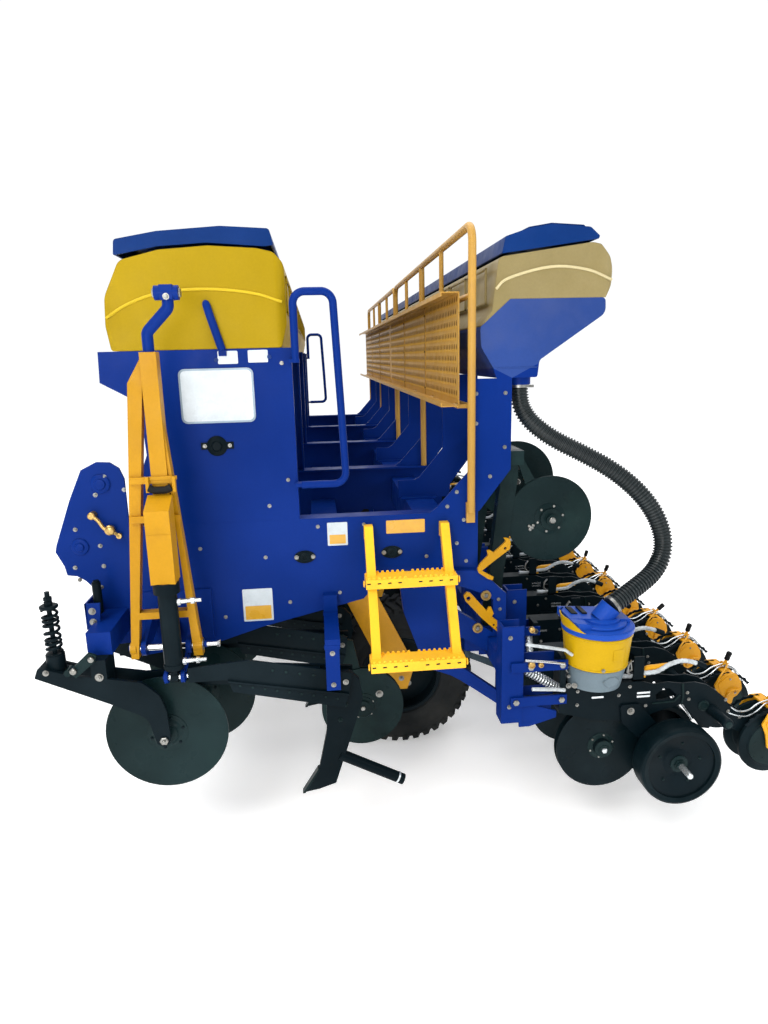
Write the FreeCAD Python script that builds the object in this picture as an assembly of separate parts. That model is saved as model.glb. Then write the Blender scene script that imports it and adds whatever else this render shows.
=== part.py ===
import FreeCAD, Part
import os, math
from FreeCAD import Vector as V

# Row crop planter, pull type, 17 rows.  Millimetres, +Z up, floor at Z = 0,
# +X towards the rear of the machine, Y across it, origin at the bottom
# centre of the whole machine.

# ---------------------------------------------------------------- sizes
ROWS = 17
ROW_PITCH = 350.0                      # distance between crop rows
FLIPPED = (1750.0, 350.0)               # these rows carry their beam on the other side, clear of a tyre
ROW_Y = [ROW_PITCH * (i - (ROWS - 1) / 2.0) for i in range(ROWS)]
X_SHIFT = -62.5                       # puts the origin at the middle of the box
Z_LIFT = 30.0                          # all but the wheels rides this much higher

FRAME_Y = [-2550.0, -1275.0, 0.0, 1275.0, 2550.0]   # planes of the frame plates
T_PLATE = 12.0                         # frame plate thickness
Z_FRAME = 1335.0                       # top of the frame plates
X_FRONT = -770.0                       # front edge of the frame plates
X_REAR = 650.0                         # rear edge of the frame plates

TYRE_R, TYRE_W = 380.0, 240.0          # transport tyres
RIM_R = 205.0
WHEEL_X = 370.0
WHEEL_Y = [-1925.0, -525.0, 525.0, 1925.0]

COULTER_R = 235.0
COULTER_F = (-641.0, 560.0)            # odd rows: axis X, Z
COULTER_B = (-566.0, 546.0)            # even rows, set further back
OPENER_R, OPENER_X, OPENER_Z = 190.0, 1119.0, 363.0
GAUGE_R, GAUGE_W, GAUGE_X, GAUGE_Z = 172.0, 100.0, 1408.0, 320.0
CLOSER_R, CLOSER_W, CLOSER_X, CLOSER_Z = 135.0, 32.0, 1842.0, 341.0

HOPPER_WALL = 8.0                      # moulded plastic hoppers
DECK_X, DECK_Z, DECK_H = 575.0, 1769.0, 448.0       # walkway hinge line, panel height
RAIL_Z = 2477.0
MARKER_P = (-2750.0, 898.0)            # marker arm pivot, Y and Z
MARKER_B = (-2836.0, 810.0)            # its cylinder's lower eye, Y and Z
MARKER_A = (-2836.0, 1410.0)           # its cylinder's upper eye, Y and Z
HOSE_R = 38.0

NODES = {}
ORDER = []


# ---------------------------------------------------------------- helpers
def box(x0, x1, y0, y1, z0, z1):
    return Part.makeBox(x1 - x0, y1 - y0, z1 - z0, V(x0, y0, z0))


def cyl_y(x, z, y0, y1, r):
    return Part.makeCylinder(r, y1 - y0, V(x, y0, z), V(0, 1, 0))


def cyl_x(y, z, x0, x1, r):
    return Part.makeCylinder(r, x1 - x0, V(x0, y, z), V(1, 0, 0))


def cyl_z(x, y, z0, z1, r):
    return Part.makeCylinder(r, z1 - z0, V(x, y, z0), V(0, 0, 1))


def rod(a, b, r):
    a, b = V(*a), V(*b)
    return Part.makeCylinder(r, (b - a).Length, a, b - a)


def prism_y(pts, y0, y1):
    """Polygon in the XZ plane, drawn out from y0 to y1."""
    w = Part.makePolygon([V(p[0], y0, p[1]) for p in pts] + [V(pts[0][0], y0, pts[0][1])])
    return Part.Face(w).extrude(V(0, y1 - y0, 0))


def prism_x(pts, x0, x1):
    """Polygon in the YZ plane, drawn out from x0 to x1."""
    w = Part.makePolygon([V(x0, p[0], p[1]) for p in pts] + [V(x0, pts[0][0], pts[0][1])])
    return Part.Face(w).extrude(V(x1 - x0, 0, 0))


def prism_z(pts, z0, z1):
    w = Part.makePolygon([V(p[0], p[1], z0) for p in pts] + [V(pts[0][0], pts[0][1], z0)])
    return Part.Face(w).extrude(V(0, 0, z1 - z0))


def round_poly_y(pts, radii, y0, y1):
    """Polygon in XZ with rounded corners, drawn out from y0 to y1."""
    n = len(pts)
    edges, last = [], None
    starts, ends, mids = [], [], []
    for i in range(n):
        p = V(pts[i][0], y0, pts[i][1])
        a = V(pts[i - 1][0], y0, pts[i - 1][1]) - p
        b = V(pts[(i + 1) % n][0], y0, pts[(i + 1) % n][1]) - p
        la, lb = a.Length, b.Length
        a.normalize(); b.normalize()
        r = radii[i] if isinstance(radii, (list, tuple)) else radii
        if r <= 0:
            starts.append(p); ends.append(p); mids.append(None)
            continue
        half = a.getAngle(b) / 2.0
        t = r / math.tan(half)
        t = min(t, 0.48 * la, 0.48 * lb)
        r = t * math.tan(half)
        s, e = p + a * t, p + b * t
        bis = a + b
        bis.normalize()
        c = p + bis * (r / math.sin(half))
        starts.append(s); ends.append(e); mids.append(c - bis * r)
    for i in range(n):
        if mids[i] is not None:
            edges.append(Part.Arc(starts[i], mids[i], ends[i]).toShape())
        nxt = starts[(i + 1) % n]
        if (nxt - ends[i]).Length > 1e-6:
            edges.append(Part.LineSegment(ends[i], nxt).toShape())
    return Part.Face(Part.Wire(edges)).extrude(V(0, y1 - y0, 0))


def round_plan(x0, x1, y0, y1, z0, z1, r):
    """Upright block with its four standing corners rounded."""
    b = Part.makeBox(x1 - x0, y1 - y0, z1 - z0, V(x0, y0, z0))
    ed = [e for e in b.Edges if abs(e.BoundBox.ZLength - (z1 - z0)) < 1e-6]
    return b.makeFillet(r, ed)


def path_wire(points, radius=None):
    """Straight runs joined by tangent arcs; returns the wire and its radii."""
    P = [V(*p) for p in points]
    segs, radii = [], []
    cur = P[0]
    for i in range(1, len(P) - 1):
        a, b = P[i - 1] - P[i], P[i + 1] - P[i]
        la, lb = a.Length, b.Length
        a.normalize(); b.normalize()
        turn = math.pi - a.getAngle(b)
        r = 0.45 * min(la, lb) / math.tan(turn / 2.0) if radius is None else radius
        t = r * math.tan(turn / 2.0)
        s, e = P[i] + a * t, P[i] + b * t
        bis = a + b
        bis.normalize()
        c = P[i] + bis * (r / math.cos(turn / 2.0))
        m = c - bis * r
        segs.append(Part.LineSegment(cur, s).toShape())
        segs.append(Part.Arc(s, m, e).toShape())
        radii.append(r)
        cur = e
    segs.append(Part.LineSegment(cur, P[-1]).toShape())
    return Part.Wire(segs), radii


def revolved(prof, x=0.0, z=0.0):
    """Closed outline (radius, y) turned about a line along Y through x, z."""
    w = Part.makePolygon([V(x + p[0], p[1], z) for p in prof] + [V(x + prof[0][0], prof[0][1], z)])
    r = Part.Face(w).revolve(V(x, 0, z), V(0, 1, 0), 360)
    r = r.Solids[0] if r.Solids else Part.Solid(r)
    if r.Volume < 0:
        r.reverse()
    return r


def tube(points, r, radius=None):
    w, radii = path_wire(points, radius)
    d = V(*points[1]) - V(*points[0])
    prof = Part.Wire(Part.makeCircle(r, V(*points[0]), d))
    s = w.makePipeShell([prof], True, True)
    if s.ShapeType != "Solid":
        s = Part.Solid(s)
    return s


def fuse(parts):
    s = parts[0]
    if len(parts) > 1:
        s = s.multiFuse(parts[1:])
    s = s.removeSplitter()
    return s


def mirror_y(s):
    return s.mirror(V(0, 0, 0), V(0, 1, 0))


def moved(s, x=0, y=0, z=0):
    c = s.copy()
    c.translate(V(x, y, z))
    return c


def per_row(make, ys):
    """A row piece is drawn for the left half and mirrored for the right half."""
    out = []
    for y in ys:
        s = make
        if (y > 1) != (abs(y) in FLIPPED):
            s = mirror_y(s)
        for so in s.Solids:
            out.append(moved(so, 0, y, 0))
    return out


def node(name, shapes, lift=True):
    if not isinstance(shapes, (list, tuple)):
        shapes = [shapes]
    sol = []
    for s in shapes:
        got = s.Solids
        if not got:
            raise RuntimeError("no solid in " + name)
        sol.extend(got)
    comp = Part.makeCompound(sol) if len(sol) > 1 else sol[0]
    comp = comp.copy()
    comp.translate(V(X_SHIFT, 0, Z_LIFT if lift else 0))
    NODES[name] = comp
    ORDER.append(name)


H = T_PLATE / 2.0

# ---------------------------------------------------------------- frame plates
SIDE = [(X_FRONT, Z_FRAME), (X_REAR, Z_FRAME), (X_REAR, 1055), (553, 1066), (250, 1080),
        (160, 977), (-270, 877), (-440, 825), (X_FRONT, 780)]


def side_plate(sign):
    web = prism_y(SIDE, -2550 - H, -2550 + H)
    top = box(-660, X_REAR, -2550 + H, -2480, Z_FRAME - 10, Z_FRAME)
    s = fuse([web, top])
    return s if sign < 0 else mirror_y(s)



INNER = [(X_FRONT, Z_FRAME), (X_REAR, Z_FRAME), (X_REAR, 1055), (250, 1080), (160, 977),
         (-270, 877), (X_FRONT, 780)]
inner = []
for y in FRAME_Y[1:4]:
    web = prism_y(INNER, y - H, y + H)
    if y == 0:
        web = web.cut(box(-780, -480, -20, 20, 700, 852))
    top = box(-660, X_REAR, y - 50, y + 50, Z_FRAME - 10, Z_FRAME)
    inner.append(fuse([web, top]))
node("frame_plates", [side_plate(-1)] + inner + [side_plate(1)])

# cross beams run from plate to plate
beams = []
for a, b in zip(FRAME_Y[:-1], FRAME_Y[1:]):
    y0, y1 = a + H, b - H
    for (x0, x1, z0, z1) in ((-740, -600, 880, 1020), (-60, 80, 1010, 1150), (420, 560, 1130, 1270)):
        outer = box(x0, x1, y0, y1, z0, z1)
        beams.append(outer.cut(box(x0 + 10, x1 - 10, y0 - 1, y1 + 1, z0 + 10, z1 - 10)))

# ---------------------------------------------------------------- front hopper stands
STAND = [(-816, 2018), (-91, 2018), (-91, Z_FRAME), (-665, Z_FRAME), (-681, 1823), (-821, 1903)]
stands = []
for i, y in enumerate(FRAME_Y):
    web = prism_y(STAND, y - H, y + H)
    parts = [web]
    if i == 0 or i == 4:
        s = 1 if i == 0 else -1
        ya, yb = sorted((y + s * H, y + s * 50))
        parts.append(box(-101, -91, ya, yb, Z_FRAME, 2018))
        parts.append(box(-816, -91, ya, yb, 2010, 2018))
        parts.append(box(-665, -655, ya, yb, Z_FRAME, 1830))
    else:
        parts.append(box(-101, -91, y - 40, y + 40, Z_FRAME, 2018))
        parts.append(box(-816, -91, y - 40, y + 40, 2010, 2018))
    stands.append(fuse(parts))
node("hopper_stands", stands)

# ---------------------------------------------------------------- rear towers
TOWER = [(446, Z_FRAME), (478, 1358), (612, 1505), (612, 1879), (787, 1879), (787, 1506), (656, Z_FRAME)]
MID_TOWER = [(391, 1270), (391, 1361), (470, 1361), (500, 1376), (618, 1516), (618, 1879), (787, 1879), (787, 1506),
             (656, Z_FRAME), (650, 1270)]
MID_Y = [-1912.5, -637.5, 637.5, 1912.5]
towers = []
for y in FRAME_Y:
    parts = [prism_y(TOWER, y - H, y + H)]
    if y == FRAME_Y[0]:
        parts.append(box(777, 787, y + H, y + 50, 1506, 1879))
    elif y == FRAME_Y[-1]:
        parts.append(box(777, 787, y - 50, y - H, 1506, 1879))
    else:
        parts.append(box(777, 787, y - 40, y + 40, 1506, 1879))
    towers.append(fuse(parts))
for y in MID_Y:
    towers.append(fuse([prism_y(MID_TOWER, y - H, y + H), box(777, 787, y - 40, y + 40, 1506, 1879),
                        box(400, 580, y - 45, y + 45, 1270, 1278)]))

# ---------------------------------------------------------------- transmission plates
TRANS = [(X_FRONT, 1530), (-786, 1573), (-820, 1597), (-871, 1600), (-931, 1571), (-987, 1454),
         (-1059, 1273), (-1066, 1245), (-1039, 1185), (-1032, 1146), (-994, 1140), (-965, 1121),
         (-930, 1081), (-905, 847), (-878, 837), (X_FRONT, 846)]
trans = []
for y in FRAME_Y:
    t = prism_y(TRANS, y - H, y + H)
    if y == 0:
        t = t.cut(box(-1100, -760, -20, 20, 800, 912)).cut(box(-1070, -995, -20, 20, 1100, 1180))
    trans.append(t)
node("transmission_plates", trans)

# ---------------------------------------------------------------- front toolbar
ft = []
spans = [(-2812, FRAME_Y[0] - H)] + [(a + H, b - H) for a, b in zip(FRAME_Y[:-1], FRAME_Y[1:])] + [(FRAME_Y[-1] + H, 2812)]
for y0, y1 in spans:
    o = box(-900, -810, y0, y1, 905, 995)
    e0 = 8 if y0 < -2700 else -1
    e1 = 8 if y1 > 2700 else -1
    ft.append(o.cut(box(-892, -818, y0 + e0, y1 - e1, 913, 987)))
node("cross_beams", beams + ft)

# ---------------------------------------------------------------- fertilizer hoppers and lids
F_OUT = [(-560, 2380), (-705, 2345), (-770, 2215), (-778, 2112), (-764, 2019), (-125, 2019), (-103, 2110),
         (-101, 2245), (-104, 2329), (-139, 2368), (-200, 2382), (-380, 2393)]


def offset_poly(pts, d):
    """Moves every side of a convex polygon inwards by d."""
    n = len(pts)
    area = sum(pts[i][0] * pts[(i + 1) % n][1] - pts[(i + 1) % n][0] * pts[i][1] for i in range(n))
    s = 1.0 if area > 0 else -1.0
    lines = []
    for i in range(n):
        (x0, z0), (x1, z1) = pts[i], pts[(i + 1) % n]
        L = math.hypot(x1 - x0, z1 - z0)
        nx, nz = -s * (z1 - z0) / L, s * (x1 - x0) / L
        lines.append((x0 + nx * d, z0 + nz * d, (x1 - x0) / L, (z1 - z0) / L))
    out = []
    for i in range(n):
        x0, z0, a0, b0 = lines[i - 1]
        x1, z1, a1, b1 = lines[i]
        det = a0 * b1 - b0 * a1
        t = ((x1 - x0) * b1 - (z1 - z0) * a1) / det
        out.append((x0 + a0 * t, z0 + b0 * t))
    return out


F_RAD = [60, 45, 90, 60, 12, 12, 60, 60, 40, 40, 60, 120]


def front_hopper(y0, y1):
    w = HOPPER_WALL
    body = round_poly_y(F_OUT, F_RAD, y0, y1).common(round_plan(-800, -100, y0, y1, 1900, 2500, 42))
    vee = prism_y([(-640, 2024), (-210, 2024), (-370, 1780), (-480, 1780)], y0 + 70, y1 - 70)
    out = body.fuse(vee)
    cav = round_poly_y(offset_poly(F_OUT, w), [max(r - w, 6) for r in F_RAD], y0 + w, y1 - w).common(
        round_plan(-800 + w, -100 - w, y0 + w, y1 - w, 1900, 2500, 34))
    # the mouth is open to the top
    mouth = round_plan(-680, -160, y0 + w + 30, y1 - w - 30, 2330, 2460, 30)
    veec = prism_y(offset_poly([(-640, 2040), (-210, 2040), (-210, 2019), (-370, 1780), (-480, 1780), (-640, 2019)], w),
                   y0 + 70 + w, y1 - 70 - w)
    return out.cut(cav).cut(mouth).cut(veec)


FH = []
for a, b in zip(FRAME_Y[:-1], FRAME_Y[1:]):
    FH.append(front_hopper(a + (-6 if a == FRAME_Y[0] else 4), b - (-6 if b == FRAME_Y[-1] else 4)))
node("fertilizer_hoppers", FH)

F_LID = [(-722, 2362), (-716, 2418), (-560, 2445), (-330, 2461), (-150, 2451), (-136, 2392),
         (-170, 2388), (-380, 2403), (-560, 2392)]
F_LID_IN = [(-730, 2300), (-709, 2412), (-560, 2438), (-330, 2454), (-156, 2445), (-142, 2380), (-130, 2300)]


def hinge_knuckles(x, z, y0, y1, r, first):
    """Short hinge barrels along a hinge line; first picks the odd or the even ones."""
    out = []
    n = 6
    for k in range(3):
        yc = y0 + (y1 - y0) * (k + 0.5) / 3.0
        if first:
            out.append(cyl_y(x, z, yc - 40, yc - 2, r))
        else:
            out.append(cyl_y(x, z, yc + 2, yc + 40, r))
    return out


for i, (a, b) in enumerate(zip(FRAME_Y[:-1], FRAME_Y[1:])):
    y0 = a + (-6 if a == FRAME_Y[0] else 6)
    y1 = b - (-6 if b == FRAME_Y[-1] else 6)
    lid = round_poly_y(F_LID, [4, 14, 60, 120, 14, 6, 6, 60, 60], y0, y1)
    cav = prism_y([(-714, 2340), (-709, 2412), (-560, 2438), (-330, 2454), (-157, 2445), (-144, 2380)], y0 + 6, y1 - 6)
    ribs = [prism_y([(-712, 2372), (-560, 2400), (-380, 2411), (-170, 2396), (-146, 2398), (-155, 2447), (-330, 2456), (-560, 2440), (-711, 2414)],
                    y - 4, y + 4) for y in (y0 + (y1 - y0) / 3, y0 + 2 * (y1 - y0) / 3)]
    lid = fuse([lid.cut(cav)] + ribs + hinge_knuckles(-724, 2366, y0, y1, 6, True))
    node("fertilizer_lid_%d" % (i + 1), lid)

# ---------------------------------------------------------------- seed hoppers, bases and lids
S_OUT = [(657, 2080), (702, 2140), (726, 2341), (1100, 2392), (1135, 2385), (1175, 2338), (1194, 2290),
         (1188, 2234), (1162, 2184), (774, 2184)]
S_RAD = [0, 60, 26, 60, 20, 60, 60, 60, 0, 0]
SEED = []
for a, b in zip(FRAME_Y[:-1], FRAME_Y[1:]):
    y0 = a + (-6 if a == FRAME_Y[0] else 4)
    y1 = b - (-6 if b == FRAME_Y[-1] else 4)
    w = HOPPER_WALL
    s = round_poly_y(S_OUT, S_RAD, y0, y1).common(round_plan(640, 1200, y0, y1, 2000, 2500, 46))
    c = prism_y([(725, 2192), (732, 2336), (1098, 2384), (1131, 2377), (1167, 2334), (1186, 2290), (1180, 2236), (1157, 2192)], y0 + w, y1 - w)
    c = c.common(round_plan(640 + w, 1200 - w, y0 + w, y1 - w, 2000, 2500, 38))
    s = s.cut(c)
    s = s.cut(prism_y([(760, 2320), (760, 2450), (1080, 2450), (1080, 2370)], y0 + w + 30, y1 - w - 30))
    SEED.append(s)
node("seed_hoppers", SEED)

S_BASE = [(774, 2184), (1162, 2184), (1165, 2124), (898, 1946), (891, 1879), (722, 1879),
          (709, 1920), (659, 2003), (655, 2068), (657, 2080)]
bases = []
for a, b in zip(FRAME_Y[:-1], FRAME_Y[1:]):
    y0 = a + (-6 if a == FRAME_Y[0] else 4)
    y1 = b - (-6 if b == FRAME_Y[-1] else 4)
    o = round_poly_y(S_BASE, [0, 16, 40, 24, 10, 10, 20, 40, 4, 0], y0, y1)
    inn = prism_y([(785, 2176), (1154, 2176), (1156, 2130), (889, 1952), (882, 1888), (732, 1888),
                   (720, 1925), (669, 2006), (665, 2066)], y0 + 8, y1 - 8)
    bases.append(o.cut(inn))
spout = cyl_z(838, -2480, 1849, 1879, 46)
towers = [t.cut(cyl_y(617, DECK_Z, -2600, 2600, 13)) for t in towers]
node("rear_towers", [fuse(towers + bases + [spout])])

S_LID = [(738, 2353), (752, 2416), (840, 2444), (938, 2459), (1090, 2448), (1128, 2415),
         (1124, 2404), (1096, 2400)]
for i, (a, b) in enumerate(zip(FRAME_Y[:-1], FRAME_Y[1:])):
    y0 = a + (-6 if a == FRAME_Y[0] else 6)
    y1 = b - (-6 if b == FRAME_Y[-1] else 6)
    lid = round_poly_y(S_LID, [3, 6, 90, 90, 20, 4, 3, 20], y0, y1)
    cav = prism_y([(746, 2340), (759, 2410), (842, 2437), (940, 2452), (1088, 2441), (1117, 2413), (1112, 2390)], y0 + 6, y1 - 6)
    parts = [lid.cut(cav)]
    n = 3
    for k in range(n):
        # raised panels, as moulded into the lid
        ya = y0 + (y1 - y0) * k / n + 22
        yb = y0 + (y1 - y0) * (k + 1) / n - 22
        parts.append(prism_y([(800, 2430), (850, 2453), (940, 2467), (1070, 2459), (1084, 2445), (940, 2456), (842, 2441)], ya, yb))
    parts += hinge_knuckles(1126, 2408, y0, y1, 6, True)
    node("seed_lid_%d" % (i + 1), fuse(parts))

# ---------------------------------------------------------------- walkway decks
KNUCKLE_Y = {"left": (-2500, -1925, -1335, -675, -60), "right": (60, 675, 1335, 1925, 2500)}
for name, side, y0, y1 in (("walkway_deck_left", "left", -2536, -10), ("walkway_deck_right", "right", 10, 2536)):
    x1 = DECK_X
    web = box(x1 - 4, x1, y0, y1, DECK_Z, DECK_Z + DECK_H)
    top = box(x1 - 75, x1, y0, y1, DECK_Z + DECK_H - 4, DECK_Z + DECK_H)
    lip = box(x1 - 75, x1 - 71, y0, y1, DECK_Z + DECK_H - 18, DECK_Z + DECK_H)
    bot = box(x1 - 75, x1, y0, y1, DECK_Z, DECK_Z + 4)
    lip2 = box(x1 - 75, x1 - 71, y0, y1, DECK_Z, DECK_Z + 18)
    s = fuse([web, top, bot, lip, lip2])
    for yk in KNUCKLE_Y[side]:
        s = s.cut(box(x1 - 14, x1 + 14, yk - 27, yk + 27, DECK_Z - 14, DECK_Z + 14))
    s = fuse([s] + [cyl_y(x1, DECK_Z, yk + 27, yk + 57, 9) for yk in KNUCKLE_Y[side]])
    node(name, s)

# ---------------------------------------------------------------- handrail
RX = 617.0
rail = []
for half in (-1, 1):
    if half < 0:
        ends, mids, bal = (-2573.0, -24.0), (-1298.0,), (-1912.5, -637.5)
    else:
        ends, mids, bal = (24.0, 2573.0), (1298.0,), (637.5, 1912.5)
    ps = [tube([(RX, ends[0], Z_FRAME), (RX, ends[0], RAIL_Z - 16), (RX, ends[1], RAIL_Z - 16), (RX, ends[1], Z_FRAME)], 16, 70)]
    for y in mids:
        ps.append(cyl_z(RX, y, Z_FRAME, RAIL_Z - 16, 16))
    ps.append(cyl_y(RX, 2200, ends[0], ends[1], 12))
    for y in bal:
        ps.append(cyl_z(RX, y, 2200, RAIL_Z - 16, 11))
    for y in ends:
        if abs(y) > 2000:
            ya, yb = sorted((y, y - math.copysign(17, y)))
            ps.append(box(598, 634, ya, yb, 1290, Z_FRAME + 40))
    # brackets and hinge barrels that carry the walkway deck
    for yk in KNUCKLE_Y["left" if half < 0 else "right"]:
        ps.append(cyl_y(DECK_X, DECK_Z, yk - 20, yk + 20, 9))
        ps.append(box(DECK_X + 5, RX - 8, yk - 20, yk + 20, DECK_Z - 8, DECK_Z + 8))
    ps.append(cyl_y(RX, DECK_Z, ends[0], ends[1], 12))
    rail.append(fuse(ps))
node("walkway_rail", rail)

# ---------------------------------------------------------------- ladders
def ladder(sign):
    ps = []
    top, bot = (-2580.0, 1300.0), (-2850.0, 800.0)
    for x0 in (168.0, 484.0):
        ps.append(prism_x([(top[0] - 16, top[1]), (top[0] + 24, top[1]), (bot[0] + 24, bot[1]), (bot[0] - 16, bot[1])], x0, x0 + 36))
        ps.append(box(x0, x0 + 36, -2580, -2550 - H, 1240, 1300))
    for zc, yc in ((1090.0, -2693.0), (805.0, -2847.0)):
        ps.append(box(160, 528, yc - 45, yc + 45, zc - 12, zc + 28))
    s = fuse(ps)
    return s if sign < 0 else mirror_y(s)


node("ladders", [ladder(-1), ladder(1)])

# ---------------------------------------------------------------- blue handrails
def loop_rail(sign):
    pts = [(-75, -2590, 1960), (-75, -2590, 2222), (75, -2590, 2222), (92, -2590, 1800), (103, -2590, 1483), (-75, -2590, 1483)]
    s = tube(pts, 15, 45)
    s = s.fuse(box(-101, -60, -2600, -2556, 1960, 1975)).fuse(box(-101, -60, -2600, -2556, 1475, 1491))
    return s if sign < 0 else mirror_y(s)


node("blue_handrails", [loop_rail(-1), loop_rail(1)])

# ---------------------------------------------------------------- marker arms
def marker_arm():
    y0, y1 = MARKER_P[0] - 20, MARKER_P[0] + 20
    zp = MARKER_P[1]
    ps = [prism_y([(-664, 1905), (-612, 1990), (-612, 1905), (-728, zp - 38), (-757, zp - 38)], y0, y1),
          prism_y([(-556, 1790), (-556, 1640), (-520, zp - 38), (-485, zp - 38)], y0, y1),
          box(-612, -554, y0 - 8, y1 + 8, 1183, 2011),
          box(-700, -520, y0 - 14, y0, 1400, 1425), box(-690, -530, y0 - 14, y0, 1545, 1570),
          box(-735, -505, y0, y1, 1020, 1047),
          cyl_x(MARKER_P[0], zp, -757, -735, 26), cyl_x(MARKER_P[0], zp, -520, -485, 26)]
    s = fuse(ps)
    s = s.cut(cyl_x(MARKER_P[0], zp, -800, -400, 12.4))
    # cylinder lug: two cheeks with a gap between them
    lugs = [box(-613, -603, MARKER_A[0] - 20, y0, 1385, 1435), box(-563, -553, MARKER_A[0] - 20, y0, 1385, 1435)]
    back = box(-613, -553, y0 - 20, y0 + 2, 1385, 1440)
    s = fuse([s] + lugs + [back])
    return s


def marker_bar():
    y = MARKER_P[0]
    s = tube([(-583, y, 2011), (-583, y, 2078), (-502, y, 2160), (-502, y, 2215)], 20, 30)
    s = s.fuse(cyl_x(y, 2210, -545, -462, 25)).fuse(box(-524, -480, y - 24, y + 24, 2186, 2236))
    return s.removeSplitter()


def marker_barrel():
    yb, zb = MARKER_B
    s = fuse([cyl_z(-583, yb, zb + 34, zb + 380, 35), cyl_x(yb, zb, -597, -569, 22),
              box(-595, -571, yb - 16, yb + 16, zb, zb + 36)])
    s = s.cut(cyl_x(yb, zb, -700, -500, 10.4))
    s = s.cut(cyl_z(-583, yb, zb + 39, zb + 400, 16.4))
    return s


def marker_rod():
    """Cylinder rod with its eye and the square guard that slides over the barrel."""
    ya, za = MARKER_A
    guard = fuse([box(-627, -539, ya - 44, ya + 44, 1190, 1378), cyl_z(-583, ya, 1147, 1192, 48)])
    hollow = fuse([box(-623, -543, ya - 40, ya + 40, 1191, 1370), cyl_z(-583, ya, 1140, 1192, 41)])
    guard = guard.cut(hollow)
    s = fuse([cyl_z(-583, ya, 1034, za - 12, 14), cyl_x(ya, za, -597, -569, 20), guard])
    return s.cut(cyl_x(ya, za, -700, -500, 9))


for side, f in (("left", lambda s: s), ("right", mirror_y)):
    node("marker_arm_" + side, f(fuse([marker_arm(), marker_bar()])))
    node("marker_barrel_" + side, f(marker_barrel()))
    node("marker_rod_" + side, f(marker_rod()))


def marker_bracket():
    yp, zp = MARKER_P
    ps = [box(-760, -470, -2568, -2550 - H, 845, 1060)]
    for x0, x1 in ((-715, -697), (-548, -528)):
        ps.append(prism_x([(-2560, 905), (yp, zp - 30), (yp, zp + 30), (-2560, 1000)], x0, x1))
        ps.append(cyl_x(yp, zp, x0, x1, 30))
    ps.append(cyl_x(yp, zp, -765, -470, 12))
    yb, zb = MARKER_B
    for x0, x1 in ((-621, -607), (-559, -545)):
        ps.append(prism_x([(yb - 4, zb - 22), (-2812, 814), (-2568, 864), (-2562, 864), (-2562, 940), (-2568, 940), (-2796, 836), (yb, 834)], x0, x1))
        ps.append(cyl_x(yb, zb, x0, x1, 24))
    ps.append(cyl_x(yb, zb, -627, -539, 10))
    return fuse(ps)


mb = marker_bracket()
node("marker_brackets", [mb, mirror_y(mb)])

# ---------------------------------------------------------------- coulters and fertilizer row beams
ARM = [(-1083, 849), (-1067, 889), (-957, 852), (-702, 805), (-640, 745), (-622, 680), (-617, 575), (-622, 545), (-643, 530), (-668, 545),
       (-676, 575), (-689, 640), (-708, 665), (-812, 720)]
ARM_R = [4, 8, 20, 60, 60, 60, 14, 14, 14, 14, 30, 60, 60, 60]


def row_beam(dx, dz):
    """Coulter fork with its spring seat, and the beam behind it; local Y = 0 is the row plane."""
    out = moved(round_poly_y(ARM, ARM_R, -62, -48), dx, 0, dz)
    inn = moved(round_poly_y(ARM, ARM_R, 30, 44), dx, 0, dz)
    seat = moved(prism_y([(-1078, 856), (-1066, 886), (-985, 858), (-992, 828)], -62, 44), dx, 0, dz)
    cup = cyl_z(-1018 + dx, -10, 850 + dz, 921, 34)
    spindle = cyl_y(COULTER_F[0] + dx, COULTER_F[1] + dz, -66, 44, 14)
    bar = prism_y([(-830 + dx, 745 + dz), (-720 + dx, 806 + dz), (-530, 806), (-300, 812), (93, 775), (93, 700), (-560, 740)], 30, 44)
    hanger = box(-880, -824, -62, 44, 780 + dz, 905)
    plate = prism_y([(-530, 849), (-300, 868), (86, 788), (74, 706), (55, 645), (-369, 742), (-384, 793), (-530, 792)], -62, -54)
    ledge = prism_y([(-384, 793), (74, 706), (72, 699), (-382, 786)], -72, -58)
    spacer = box(-300, -260, -62, 44, 778, 808)
    spacer2 = box(-80, -36, -62, 44, 740, 785)
    return fuse([out, inn, seat, cup, spindle, bar, hanger, plate, ledge, spacer, spacer2])


front_rows = [y for i, y in enumerate(ROW_Y) if i % 2 == 0]
rear_rows = [y for i, y in enumerate(ROW_Y) if i % 2 == 1]
A = row_beam(0, 0)
B = row_beam(COULTER_B[0] - COULTER_F[0], COULTER_B[1] - COULTER_F[1])
node("row_beams", per_row(A, front_rows) + per_row(B, rear_rows))


def coulter(c):
    d = cyl_y(c[0], c[1], -2.5, 2.5, COULTER_R).fuse(cyl_y(c[0], c[1], -24, 24, 40))
    return d.removeSplitter().cut(cyl_y(c[0], c[1], -60, 60, 14.5))


node("coulters_front", [moved(coulter(COULTER_F), 0, y, 0) for y in front_rows])
node("coulters_rear", [moved(coulter(COULTER_B), 0, y, 0) for y in rear_rows])

def spring(dx):
    return fuse([cyl_z(-1018 + dx, -10, 921, 1100, 30), cyl_z(-1018 + dx, -10, 1100, 1165, 9), cyl_z(-1018 + dx, -10, 1100, 1112, 26)])


node("coulter_springs", per_row(spring(0), front_rows) + per_row(spring(COULTER_B[0] - COULTER_F[0]), rear_rows))

SHANK = [(-20, 540), (-22, 520), (-57, 365), (-127, 263), (-60, 274), (8, 296), (64, 462), (128, 660), (116, 742), (86, 775), (20, 775), (-16, 640)]


def shank():
    s = prism_y(SHANK, -30, -4)
    t = rod((30, -17, 415), (281, -17, 280), 22)
    clamp = box(22, 78, -54, 30, 712, 765)
    return fuse([s, t, clamp])


node("shanks", per_row(shank(), front_rows))


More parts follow.
